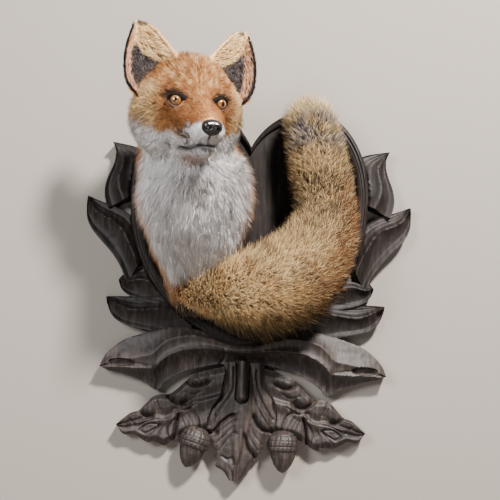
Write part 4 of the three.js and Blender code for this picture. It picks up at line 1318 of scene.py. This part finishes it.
def eyelids(side, material):
    """A ring of hide that rolls over the glass all round the almond opening."""
    centre = from_head(EYE_PLACE * [side, 1, 1])
    across, up, forward = gaze_axes(side)
    phi = np.linspace(0, 2 * math.pi, LID_STEPS, endpoint=False)
    c, s = np.cos(phi), np.sin(phi)
    inner = np.clip(-c, 0, 1) ** 3
    opening = np.stack([LID_HALF[0] * c, LID_HALF[1] * np.sign(s) * np.abs(s) ** 1.15], -1)
    opening[:, 1] -= 0.9 * MM * inner + 0.5 * MM * np.clip(s, 0, 1)
    outer = np.stack([LID_OUTER[0] * c * (1 + 0.12 * inner), LID_OUTER[1] * s - 2.2 * MM * inner], -1)
    turn = np.array([[math.cos(LID_TILT), math.sin(LID_TILT)],
                     [-math.sin(LID_TILT), math.cos(LID_TILT)]])
    opening, outer = opening @ turn, outer @ turn

    def on_ball(size, rise):
        flat, radius = opening * size, EYE_RADIUS + rise * MM
        deep = np.sqrt(np.maximum(radius ** 2 - (flat ** 2).sum(-1), (0.2 * radius) ** 2))
        return centre + flat[:, :1] * across + flat[:, 1:] * up + deep[:, None] * forward

    edge = centre + outer[:, :1] * across + outer[:, 1:] * up + 4 * MM * forward
    edge = onto_form(hide_form, edge, 14 * MM, 8)
    outwards = unit(edge - (centre - 14 * MM * forward))
    rings = [on_ball(*roll) for roll in LID_ROLL]
    for share, lift in LID_SPREAD:
        rings.append(mix(rings[3], edge, share) + outwards * lift * MM)
    rings += [edge - outwards * 2.5 * MM, on_ball(1, -1.8)]
    points = np.concatenate(rings)
    name = f"eyelids_{word_of(side)}"
    lids = face_outwards(object_of(name, points, ring_quads(len(rings), LID_STEPS, True)))
    row_of = np.repeat(np.arange(len(rings)), LID_STEPS)
    upper = np.tile(smooth(-0.25, 0.35, s), len(rings))
    black = np.maximum(upper, (row_of < 2) * 0.9)
    colour = toward(np.tile(PINK * 0.14, (len(points), 1)), BLACK, black)
    colour = toward(colour, RUST * 0.5, smooth(4.5, 7, row_of) * (1 - 0.9 * upper))
    corner = np.tile(np.maximum(inner, np.clip(c, 0, 1) ** 4), len(rings))
    store_colour(lids, "coat", toward(colour, BLACK, smooth(0.35, 0.8, corner)))
    return finish_piece(shade_smooth(lids), material=material)


def nose_form(q):
    """The nose's leather in the head's frame, with its nostrils and the groove between them."""
    p = fold(q)
    pad = ellipsoid(p, [0, -68, -27], [10.2, 7.2, 8.6])
    wing = ellipsoid(p, [5.5, -68.5, -26], [5.4, 6.3, 6.0])
    hole = blend(taper(p, [3.6, -76, -27], [4.6, -68, -27.5], 2.0, 1.6),
                 taper(p, [4.6, -74.5, -28.0], [10.5, -70, -30.5], 1.5, 0.8), 1.5 * MM)
    groove = taper(p, [0, -76.5, -27], [0, -73, -37], 0.7, 1.0)
    pierced = blend(-blend(pad, wing, 2 * MM), hole, 1.0 * MM)
    return -blend(pierced, groove, 0.8 * MM)


def nose(material):
    points, quads = net_of(nose_form, NOSE_LOW, NOSE_HIGH, NOSE_CELL)
    points = from_head(onto_form(nose_form, points, 0.3 * MM, 2))
    pad = object_of("nose_pad", points, quads)
    return finish_piece(shade_smooth(pad), ["nose"], material)


# ------------------------------------------------------------------------ carved wood
# Outlines and cuts are in millimetres on the wall, as x and z, and heights are out from it.

def line_through(points, steps):
    """Smooth line through points, with steps of equal length."""
    points = np.array(points, float)
    t = np.linspace(0, len(points) - 1, 16 * (len(points) - 1) + 1)
    line = np.stack([through(points[:, i], t) for i in (0, 1)], -1)
    length = np.concatenate([[0], np.cumsum(np.linalg.norm(np.diff(line, axis=0), axis=-1))])
    even = np.linspace(0, length[-1], steps + 1)
    return np.stack([np.interp(even, length, line[:, i]) for i in (0, 1)], -1)


def bezier(points, t):
    a, b, c, d = np.array(points, float)
    t = np.asarray(t)[:, None]
    return a * (1 - t) ** 3 + 3 * b * t * (1 - t) ** 2 + 3 * c * t ** 2 * (1 - t) + d * t ** 3


def from_line(place, line):
    """Distance of places from a line, and which side of it they are on."""
    nearest = np.full(place.shape[:-1], np.inf)
    side = np.zeros(place.shape[:-1])
    for a, b in zip(line[:-1], line[1:]):
        step = b - a
        share = np.clip((place - a) @ step / max(step @ step, 1e-9), 0, 1)
        gap = place - a - share[..., None] * step
        away = np.linalg.norm(gap, axis=-1)
        closer = away < nearest
        turn = step[0] * (place - a)[..., 1] - step[1] * (place - a)[..., 0]
        nearest, side = np.where(closer, away, nearest), np.where(closer, np.sign(turn), side)
    return nearest, side


def cuts(place, strokes):
    """Depth of the gouge's strokes: each has its line, its width to either side and its depth."""
    depth = 0
    for points, left, right, deep in strokes:
        gap, side = from_line(place, line_through(points, 5 * (len(points) - 1)))
        depth = depth + deep * np.exp(-(gap / np.where(side > 0, left, right)) ** 1.6)
    return depth


def inside(place, outline):
    """Whether places lie inside a closed outline."""
    x, z = place[..., 0], place[..., 1]
    odd = np.zeros(x.shape, bool)
    for (ax, az), (bx, bz) in zip(outline, np.roll(outline, -1, 0)):
        if az != bz:
            odd ^= ((az > z) != (bz > z)) & (x < (bx - ax) * (z - az) / (bz - az) + ax)
    return odd


def flip(points, side):
    return np.array(points, float) * [side, 1]


def mirrored(strokes, side):
    return [(flip(line, side), *((a, b) if side > 0 else (b, a)), deep) for line, a, b, deep in strokes]


def profile(s, places, heights):
    """Height through stops across a piece, rounded at each stop."""
    t = np.interp(s, places, np.arange(len(places)))
    f = t - np.floor(t)
    return np.interp(np.floor(t) + mix(f, f * f * (3 - 2 * f), 0.55), np.arange(len(places)), heights)


# How deep the gouge's marks are on all the carving, how far apart, and the least height.
MARKS, LEAST_HEIGHT = ((0.55, 5.0, 71), (0.3, 2.1, 72)), 1.5


def relief(name, one, other, across, height, material):
    """A carved piece flat on the wall between two margins, which run from its base to its tip."""
    rows = len(one)
    share = np.linspace(0, 1, across + 1)
    place = mix(one[:, None], other[:, None], share[None, :, None])
    along = np.linspace(0, 1, rows)[:, None] * np.ones((1, across + 1))
    out = height(place, along, share[None] * np.ones((rows, 1)))
    tooled = np.stack([place[..., 0], out * 0.5, place[..., 1]], -1)
    for deep, apart, seed in MARKS:
        out = out - deep * noise(tooled, apart, seed)
    out = np.maximum(out, LEAST_HEIGHT)
    front = np.stack([place[..., 0], -out, place[..., 1]], -1).reshape(-1, 3)
    wall = [np.stack([edge[:, 0], np.zeros(rows), edge[:, 1]], -1) for edge in (one, other)]
    points = np.concatenate([front, *wall]) * MM
    wide = across + 1
    low = rows * wide + np.arange(rows - 1)
    high = low + rows
    edge = np.arange(rows - 1) * wide
    quads = np.concatenate([
        grid_quads(rows - 1, across), np.stack([low, low + 1, high + 1, high], -1),
        np.stack([edge, edge + wide, low + 1, low], -1),
        np.stack([edge + across, high, high + 1, edge + across + wide], -1)])
    fans = []
    for row in (0, rows - 1):
        start = row * wide + np.arange(across)
        hub = rows * wide + row
        fans += [np.stack([start, start + 1, np.full(across, hub)], -1),
                 [[row * wide + across, hub + rows, hub]]]
    piece = object_of(name, points, [quads, np.concatenate(fans)])
    piece.data.materials.append(material)
    return carved_finish(piece)


def carved_finish(piece):
    shade_smooth(face_outwards(piece))
    piece.data.set_sharp_from_angle(angle=math.radians(64))
    return piece


# The panel's outline on the fox's left, from the notch of the heart to its foot.
PANEL_HALF = [[[0, 95], [12, 120], [38, 144], [74, 144]], [[74, 144], [114, 144], [147, 96], [147, 36]],
              [[147, 36], [147, -70], [90, -124], [0, -161]]]


def panel_outline(steps):
    t = np.linspace(0, 1, steps, endpoint=False)
    half = np.concatenate([bezier(part, t) for part in PANEL_HALF])
    return np.concatenate([half, flip(half[::-1], -1)[:-1]])


# The rim's section, as the share of the panel's outline that it follows and its height.
RIM_SECTION = [(1, 0), (1, 19), (0.994, 21.5), (0.985, 23.4), (0.972, 24), (0.966, 22.2), (0.961, 22.2),
               (0.957, 23.8), (0.948, 24), (0.944, 22.4), (0.939, 22.4), (0.935, 23.8), (0.92, 23.2),
               (0.908, 21.6), (0.9, 19.5), (0.9, 0)]


def rim(material):
    """The heart-shaped frame with a double groove in its face."""
    line = panel_outline(70)
    rings = np.array([[[x * scale, -out, z * scale] for x, z in line] for scale, out in RIM_SECTION]) * MM
    piece = object_of("carved_rim", rings.reshape(-1, 3), ring_quads(len(rings), len(line), True))
    return finish_piece(carved_finish(piece), ["panel_rim"], material)


# The leaves beside the rim from the top down: inner margin, outer margin and ridge across.
BORDER_LEAVES = [
    ([[116, 40], [118, 92], [140, 90], [172, 97]],
     [[174, 12], [192, 50], [156, 66], [173, 96]], 0.66),
    ([[120, -40], [130, 14], [170, 12], [199, 27]],
     [[146, -80], [166, -22], [208, -28], [200, 26]], 0.45),
    ([[104, -50], [126, -58], [146, -62], [156, -75]],
     [[104, -104], [138, -102], [154, -92], [156, -77]], 0.5),
    ([[70, -84], [108, -100], [140, -95], [170, -97]],
     [[60, -164], [118, -118], [162, -150], [170, -99]], 0.42),
]


def border_leaf(side, number, material):
    """A border leaf: a hollow inner side up to its ridge, and a cove beyond with a raised edge."""
    inner, outer, ridge = BORDER_LEAVES[number]
    t = np.linspace(0, 1, 64) ** 0.85
    one, other = flip(bezier(inner, t), side), flip(bezier(outer, t), side)
    panel = panel_outline(50)

    def height(place, t, s):
        crest, low = mix(29 - number, 20, t), mix(17 - number, 13, t)
        crease = ridge + 0.06 * np.sin(9 * t + number)
        u = np.clip(s / crease, 0, 1)
        inner_side = mix(crest - 7, crest, u ** 1.6) - 2.6 * np.sin(math.pi * u)
        inner_side -= 0.9 * np.abs(np.sin(math.pi * (u * 3.2 + 0.3 * t)))
        v = np.clip((s - crease) / (1 - crease), 0, 1)
        outer_side = low + (crest - low) * (1 - v) ** 2.6 + 2.4 * smooth(0.7, 0.94, v)
        out = np.where(s < crease, inner_side, outer_side)
        out = out - 3.5 * smooth(0.78, 0.86, t) * smooth(1.0, 0.9, t) * smooth(0.3, 0.6, s)
        return np.where(inside(place, panel), np.minimum(out, 15), out)

    return relief(f"border_leaf_{number}", one, other, 30, height, material)


# The bow's upper and lower margins from its middle out.
BOW_TOP = [(0, -150), (14, -149), (30, -144), (50, -136), (70, -132), (88, -132), (106, -136),
    (126, -142), (144, -149), (158, -159), (168, -170), (173, -181)]
BOW_FOOT = [(0, -175), (18, -174), (34, -175), (52, -179), (64, -182), (76, -187), (86, -193),
    (96, -201), (103, -208), (118, -200), (133, -194), (150, -189), (164, -186), (173, -182)]


# The bow's two ridges across it, at stops from its middle to its ends, and the cuts in each
# wing: each with its line, its width to either side and its depth.
BOW_STOPS = [0, 0.1, 0.3, 0.5, 0.62, 0.75, 1]
BOW_FIRST = [0.14, 0.15, 0.17, 0.27, 0.42, 0.5, 0.5]
BOW_SECOND = [0.4, 0.42, 0.5, 0.56, 0.64, 0.74, 0.8]
BOW_CUTS = [([(22, -158), (23, -166), (29, -176)], 1.4, 1.4, 2.2),
            ([(107, -181), (103, -192), (104, -207)], 1.2, 3.5, 2.6),
            ([(108, -180), (122, -178), (134, -177)], 1.0, 1.8, 1.6)]


def bow_bracket(material):
    """Two wings that meet in the middle, each with two ridges over a deep cove."""
    top, foot = line_through(BOW_TOP, 150), line_through(BOW_FOOT, 150)
    one = np.concatenate([flip(top[:0:-1], -1), top])
    other = np.concatenate([flip(foot[:0:-1], -1), foot])

    def height(place, t, s):
        reach = np.abs(2 * t - 1)
        first, second = np.interp(reach, BOW_STOPS, BOW_FIRST), np.interp(reach, BOW_STOPS, BOW_SECOND)
        front, edge, under = mix(41, 22, reach ** 1.3), mix(28, 16, reach), mix(15, 12, reach)
        u = np.clip(s / first, 0, 1)
        bevel = edge + (front - edge) * u ** 0.8 - 1.5 * np.sin(math.pi * u)
        v = np.clip((s - first) / (second - first), 0, 1)
        band = front - 1.5 * v - mix(3.4, 1.5, reach) * np.sin(math.pi * v)
        w = np.clip((s - second) / (1 - second), 0, 1)
        cove = under + (front - 1.5 - under) * (1 - w) ** 2.2
        out = np.where(s < first, bevel, np.where(s < second, band, cove))
        scoop = ((np.abs(place[..., 0]) - 147) / 17) ** 2 + ((place[..., 1] + 176.5) / 5) ** 2
        out = out - 5.5 * smooth(1.0, 0.55, scoop)
        uneven = 3 * noise(np.stack([place[..., 0], 0 * t, place[..., 1]], -1), 9, 5)
        grain = 0.35 * np.sin(place[..., 0] * 1.9 + uneven)
        return out - cuts(fold(place), BOW_CUTS) - grain * (s > second)

    piece = relief("carved_bow", one, other, 46, height, material)
    return finish_piece(piece, ["bow_bracket"])


# The middle leaf's margins from its top down, its cuts, and the line of the finger on it.
MIDDLE_LEFT = [(-22, -172), (-21, -190), (-24, -208), (-33, -223), (-39, -237), (-40, -250),
    (-34, -256), (-39, -262), (-32, -276), (-27, -287), (-28, -295), (-18, -301), (-12, -311)]
MIDDLE_RIGHT = [(26, -172), (27, -192), (34, -207), (41, -221), (43, -235), (40, -250), (36, -258),
    (33, -265), (26, -276), (18, -286), (12, -295), (6, -304), (0, -311)]
MIDDLE_CUTS = [
    ([(-18, -177), (-18, -194), (-20, -205), (-28, -217), (-37, -228)], 1.1, 1.1, 2.2),
    ([(-11, -178), (-10, -196), (-11, -205), (-20, -219), (-29, -232), (-36, -248)], 1.1, 1.1, 2.4),
    ([(-15, -200), (-24, -213), (-33, -226)], 0.8, 0.8, 1.0),
    ([(-41, -253), (-33, -254), (-24, -243), (-14, -235), (-10, -233)], 0.9, 3.4, 6),
    ([(-40, -262), (-30, -257), (-22, -251), (-8, -240)], 0.9, 1.6, 2.2),
    ([(-28, -268), (-15, -254), (-8, -247)], 0.9, 0.9, 1.6),
    ([(-25, -277), (-14, -262), (-7, -254)], 0.9, 0.9, 1.6),
    ([(14, -236), (20, -246), (28, -252), (39, -254)], 3.4, 0.9, 7),
    ([(4, -258), (8, -270), (13, -278), (18, -284)], 3.2, 0.9, 6),
    ([(9, -177), (14, -204), (18, -220), (25, -234), (37, -250)], 1.1, 1.1, 2.2),
    ([(17, -180), (17, -192), (22, -211), (30, -227), (38, -238)], 1.3, 1.3, 3.0),
    ([(14, -192), (19, -212), (26, -228), (37, -244)], 0.8, 0.8, 1.2),
    ([(12, -246), (16, -256), (26, -268)], 0.9, 0.9, 1.5),
    ([(9, -252), (13, -264), (22, -275)], 0.9, 0.9, 1.5),
    ([(-20, -283), (-14, -286), (-8, -284), (-6, -292)], 1.0, 2.5, 2.4),
    ([(-7, -286), (-7, -311)], 0.9, 2.2, 1.8),
    ([(1, -280), (1, -309)], 2.2, 0.9, 1.8),
]
FINGER = np.array([(0, -170), (0, -212)], float)


def middle_leaf(material):
    """The middle leaf, with the bed of the finger at its top."""
    stops = [0, 0.16, 0.36, 0.46, 0.54, 0.64, 0.84, 1]
    heights = [0, 0.55, 0.62, 1, 1, 0.62, 0.55, 0]

    def height(place, t, s):
        edge, crest = mix(21, 15, t), mix(31, 22, t)
        out = edge + (crest - edge) * profile(s, stops, heights) - cuts(place, MIDDLE_CUTS)
        bed, _ = from_line(place, FINGER)
        return np.where(bed < 9, np.minimum(out, 21 + 6 * smooth(7.4, 9, bed)), out)

    margins = line_through(MIDDLE_LEFT, 170), line_through(MIDDLE_RIGHT, 170)
    piece = relief("carved_middle_leaf", *margins, 72, height, material)
    return finish_piece(piece, ["oak_leaf_middle"])


def finger(material):
    """The polished half-round finger that hangs over the top of the middle leaf."""
    edge = [(6, z) for z in np.linspace(-170, -212, 30)]
    edge += [(6 * math.cos(a), -212 - 6 * math.sin(a)) for a in np.linspace(0.05, 1.56, 18)]
    edge = np.array(edge)

    def height(place, t, s):
        gap, _ = from_line(place, FINGER)
        return 25 + 13 * np.sqrt(np.clip(1 - (gap / 6.1) ** 2, 0.02, 1)) + 0.6

    piece = relief("carved_finger", flip(edge, -1), edge, 22, height, material)
    return finish_piece(piece, ["stem"])


# An oak leaf's upper and lower margins from its base out, and its cuts.
SIDE_TOP = [(20, -176), (45, -183), (60, -189), (68, -196), (74, -202), (82, -209), (90, -213),
    (98, -213), (106, -216), (115, -225), (123, -233), (132, -236), (140, -242), (149, -250)]
SIDE_FOOT = [(32, -250), (50, -257), (62, -258), (70, -261), (76, -264), (84, -269), (92, -273),
    (102, -269), (111, -270), (121, -265), (128, -261), (139, -262), (145, -257), (149, -251)]
SIDE_CUTS = [
    ([(89, -215), (82, -221), (75, -224), (64, -223)], 0.9, 4.2, 7.5),
    ([(122, -234), (117, -239), (108, -241)], 0.9, 3.6, 5.5),
    ([(68, -196), (59, -201), (51, -202), (41, -198)], 0.9, 4.5, 7.5),
    ([(103, -216), (97, -231)], 1.0, 1.0, 2.2),
    ([(105, -222), (100, -232)], 0.8, 0.8, 1.4),
    ([(133, -243), (126, -251)], 0.9, 0.9, 1.6),
    ([(120, -256), (112, -249), (103, -248), (98, -250), (105, -255), (113, -259), (120, -256)],
     0.9, 1.3, 2.0),
    ([(75, -236), (77, -245), (78, -256), (81, -267)], 1.8, 1.8, 8),
    ([(77, -241), (83, -246), (87, -255), (85, -263), (81, -267)], 0.8, 0.8, 2.0),
    ([(121, -250), (108, -244), (88, -240), (79, -236)], 1.0, 1.0, 1.8),
    ([(112, -266), (104, -256), (96, -249)], 1.0, 1.0, 1.8),
    ([(98, -269), (96, -258), (91, -249)], 1.0, 1.0, 1.5),
    ([(71, -239), (66, -250), (64, -259)], 0.9, 0.9, 1.4),
    ([(64, -235), (58, -245), (54, -255)], 0.9, 0.9, 1.4),
    ([(68, -238), (62, -248), (59, -257)], 0.7, 0.7, 0.9),
    ([(61, -228), (53, -236), (48, -252)], 2.6, 0.9, 3.2),
    ([(70, -209), (58, -212), (48, -207)], 1.0, 1.0, 1.5),
    ([(80, -229), (66, -230), (54, -222)], 1.2, 1.2, 2.2),
    ([(66, -213), (60, -220)], 0.8, 0.8, 1.2),
    ([(52, -190), (48, -197)], 0.8, 0.8, 1.2),
    ([(40, -186), (37, -193)], 0.8, 0.8, 1.0),
]


def side_leaf(side, material):
    """An oak leaf beside the middle one, which it runs in under."""
    top, foot = (flip(line_through(line, 170), side) for line in (SIDE_TOP, SIDE_FOOT))
    middle = np.concatenate([line_through(MIDDLE_LEFT, 60), line_through(MIDDLE_RIGHT, 60)[::-1]])
    strokes = mirrored(SIDE_CUTS, side)
    stops = [0, 0.12, 0.26, 0.42, 0.5, 0.66, 0.86, 1]
    heights = [0.5, 0.92, 0.86, 0.52, 0.86, 0.52, 0.62, 0.08]

    def height(place, t, s):
        lobe = 0.5 + 0.5 * np.cos(2 * math.pi * (2.6 * t - 0.62))
        out = mix(15, 13, t) + mix(15, 7, t) * profile(s, stops, heights)
        out = out + 2.2 * lobe * smooth(0.45, 0.1, s) * (1 - 0.5 * t) - cuts(place, strokes)
        return np.where(inside(place, middle), np.minimum(out, 12), out)

    word = word_of(side)
    piece = relief(f"carved_oak_leaf_{word}", top, foot, 64, height, material)
    return finish_piece(piece, [f"oak_leaf_{word}"])


# An acorn's turned outline from its top down, where its cup is cut across, and where the
# acorns hang: how far out to the side and from the wall, and their middle's height.
ACORN_Z = np.array([-250, -251, -255, -262, -268, -273, -274.6, -276, -282, -290, -296, -299, -300])
ACORN_RADII = np.array([0.5, 8, 14, 17.6, 18, 17.4, 15.6, 15.4, 14.6, 11, 6.5, 2.6, 0.3])
CUP_RINGS = (-255.5, -262, -268.5)
ACORN_SIDE, ACORN_OUT, ACORN_MIDDLE = 51, 19, -270
ACORN_ROWS, ACORN_AROUND = 84, 108


def acorn(side, material):
    """A turned acorn: its cup cut across both ways, and a nut with chiselled faces."""
    z = -250 - 50 * np.linspace(0, 1, ACORN_ROWS)
    radius = np.interp(z, ACORN_Z[::-1], ACORN_RADII[::-1])[:, None]
    theta = np.linspace(0, 2 * math.pi, ACORN_AROUND, endpoint=False)[None]
    turned = theta * 18 / (2 * math.pi) + 0.25 * np.sin(z * 0.2)[:, None]
    rings = sum(np.exp(-((z - ring) / 0.8) ** 2) for ring in CUP_RINGS)
    upright = np.exp(-((turned - np.round(turned)) * 6.2 / 0.75) ** 2)
    cup = (smooth(-275, -273.5, z) * smooth(-250.5, -253, z))[:, None]
    radius = radius - cup * (1.1 * np.maximum(rings[:, None], upright) - 0.5)
    facets = np.cos(5 * theta + 1.3) * 0.5 + np.abs(np.sin(2.5 * theta)) * 0.5
    radius = radius * (1 - 0.09 * facets * smooth(-275.5, -283, z)[:, None])
    points = np.stack([radius * np.sin(theta), -radius * np.cos(theta), z[:, None] + 0 * theta], -1)
    # The one on the fox's right hangs at a slant.
    lean, aside = (0.3, 4) if side < 0 else (0.0, 0)
    turn = np.array([[math.cos(lean), 0, -math.sin(lean)], [0, 1, 0], [math.sin(lean), 0, math.cos(lean)]])
    points = (points - [aside, 0, ACORN_MIDDLE]) @ turn + [side * ACORN_SIDE, -ACORN_OUT, ACORN_MIDDLE]
    ends = [row * ACORN_AROUND + np.arange(ACORN_AROUND)[None] for row in (0, ACORN_ROWS - 1)]
    word = word_of(side)
    piece = object_of(f"carved_acorn_{word}", points.reshape(-1, 3) * MM,
                      [ring_quads(ACORN_ROWS, ACORN_AROUND, False), *ends])
    return finish_piece(carved_finish(piece), [f"acorn_{word}"], material)


# The bow, middle and side leaves, finger and acorns take the wood painted lighter against the brush's
# shadow; the rim and border leaves take a copy painted darker as shade.
def carve_plaque(material, shade_painted_wood):
    rim(shade_painted_wood)
    bow_bracket(material)
    middle_leaf(material)
    finger(material)
    for side in SIDES:
        acorn(side, material)
        side_leaf(side, material)
        leaves = [border_leaf(side, number, shade_painted_wood) for number in range(len(BORDER_LEAVES))]
        border = only(leaves[0])
        for leaf in leaves:
            leaf.select_set(True)
        bpy.ops.object.join()
        word = word_of(side)
        border.name = border.data.name = f"carved_border_{word}"
        finish_piece(border, [f"leaf_border_{word}"])


# ------------------------------------------------------------- camera, lights and stage

# The camera: its place, how far it looks up and leans, and its lens as a share of its frame.
CAMERA_PLACE = np.array([3.1, -1184.0, -197.9]) * MM
CAMERA_UP, CAMERA_ROLL = math.radians(8), math.radians(2.2)
FOCAL_SHARE = 960 / 500
FRAME_WIDTH = 36


def add_camera():
    forward = np.array([0, math.cos(CAMERA_UP), math.sin(CAMERA_UP)])
    up = np.array([0, -math.sin(CAMERA_UP), math.cos(CAMERA_UP)])
    right = np.array([1, 0, 0])
    across = right * math.cos(CAMERA_ROLL) + up * math.sin(CAMERA_ROLL)
    above = -right * math.sin(CAMERA_ROLL) + up * math.cos(CAMERA_ROLL)
    data = bpy.data.cameras.new("camera")
    data.sensor_width = FRAME_WIDTH
    data.lens = data.sensor_width * FOCAL_SHARE
    camera = bpy.data.objects.new("camera", data)
    camera.matrix_world = Matrix.Translation(CAMERA_PLACE) @ Matrix(
        (across, above, -forward)).transposed().to_4x4()
    bpy.context.scene.collection.objects.link(camera)
    bpy.context.scene.camera = camera


# What the lights are turned to, and each light's name, place, target, size, watts and colour.
COAT_MIDDLE, MOUNT_MIDDLE = (-0.02, -0.08, 0), (0, -0.08, 0)
LIGHTS = [
    ("key", (0.6, -1.2, 1.08), COAT_MIDDLE, 0.22, 148, (1.0, 0.96, 0.92)),
    ("fill", (-1.05, -1.6, 0.4), COAT_MIDDLE, 0.7, 50, (0.96, 0.97, 1.0)),
    ("front", (0.2, -1.9, -0.8), MOUNT_MIDDLE, 0.9, 9, (1, 1, 1)),
]
SKY, SKY_STRENGTH = (0.9, 0.93, 1.0, 1), 0.09
STAGE_SIZE = 6


def add_light(name, place, target, size, watts, colour):
    data = bpy.data.lights.new(name, "AREA")
    data.shape, data.size, data.energy, data.color = "DISK", size, watts, colour
    light = bpy.data.objects.new(name, data)
    light.location = place
    light.rotation_euler = (Vector(target) - Vector(place)).to_track_quat("-Z", "Y").to_euler()
    bpy.context.scene.collection.objects.link(light)


def add_plane(name, place, tilt, colour, roughness):
    bpy.ops.mesh.primitive_plane_add(size=STAGE_SIZE, location=place, rotation=(math.radians(tilt), 0, 0))
    plane = bpy.context.active_object
    plane.name = name
    plane.data.materials.append(plain_material(f"{name}_paint", colour, roughness))
    return plane


def add_stage():
    add_plane("pale_wall", (0, 0.0012, 0.6), 90, paint(128, 121, 113), 0.9)
    add_plane("pale_floor", (0, -1.5, -1.0), 0, paint(132, 126, 119), 0.8)
    for light in LIGHTS:
        add_light(*light)
    world = bpy.data.worlds.new("studio")
    world.use_nodes = True
    fill(world.node_tree, world.node_tree.nodes["Background"], Color=SKY, Strength=SKY_STRENGTH)
    bpy.context.scene.world = world


# --------------------------------------------------------------------------- assembly

FLESH = ["head", "muzzle", "lower_jaw", "ear_left", "ear_right", "neck", "chest",
         "tail_root", "tail_middle", "tail_upper", "tail_tip"]


def paint_skin(skin):
    """The coat's own colours on the skin, darker on the face, and the ears' inside and out."""
    p = corners_of(skin)
    q = fold(into_head(p))
    # The skin is darker behind the muzzle, where the coat is long: partly the coat's own root colour,
    # partly painted shade under the coat.
    under = coat_colour(p, on_the_brush(p)) * mix(0.9, 0.5, span(-34, 10, q[:, 1]))[:, None]
    on_ear = (head_form(q) > 0.5 * MM) & (q[:, 0] > 14 * MM) & (q[:, 1] < 66 * MM) & (q[:, 2] > -8 * MM)
    inner_line = np.stack([through(EAR_INNER[:, i], np.linspace(0, 3, 30)) for i in range(3)], -1)
    to_inner = np.linalg.norm(q[:, None] - inner_line[None], axis=-1).min(1)
    ear = toward(np.tile(TAN * 0.6, (len(p), 1)), DARK, span(7, 15, to_inner))
    store_colour(skin, "coat", np.where(on_ear[:, None], ear, under))


def place_fox():
    """The coat grows from the bare skin, and the ears' hides are joined to the skin after it."""
    skin, fur, lid, glass = skin_mesh(), fur_material(), lid_material(), eye_material()
    grow_coat(corners_of(skin), triangles_of(skin), fur)
    for side in SIDES:
        ear_coat(side, fur)
    join_to(skin, [ear_hide(side) for side in SIDES])
    paint_skin(skin)
    finish_piece(shade_smooth(skin), FLESH, skin_material())
    for side in SIDES:
        glass_eye(side, glass)
        eyelids(side, lid)
    nose(nose_material())


place_fox()
# One stained wood in three tones: the lighter one is painted light where the brush shades the carving, and
# the darker two are painted shade on the rim, border leaves and field.
carve_plaque(wood_material("stained_wood_painted_light", 0.9, 0.3), wood_material("stained_wood_painted_shade", 0.45, 0.2))
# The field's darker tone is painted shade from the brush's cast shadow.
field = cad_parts["panel_field"].data.materials
field.clear()
field.append(wood_material("field_wood_painted_shade", 0.42, 0.1))

add_stage()
add_camera()
bpy.ops.object.select_all(action="DESELECT")
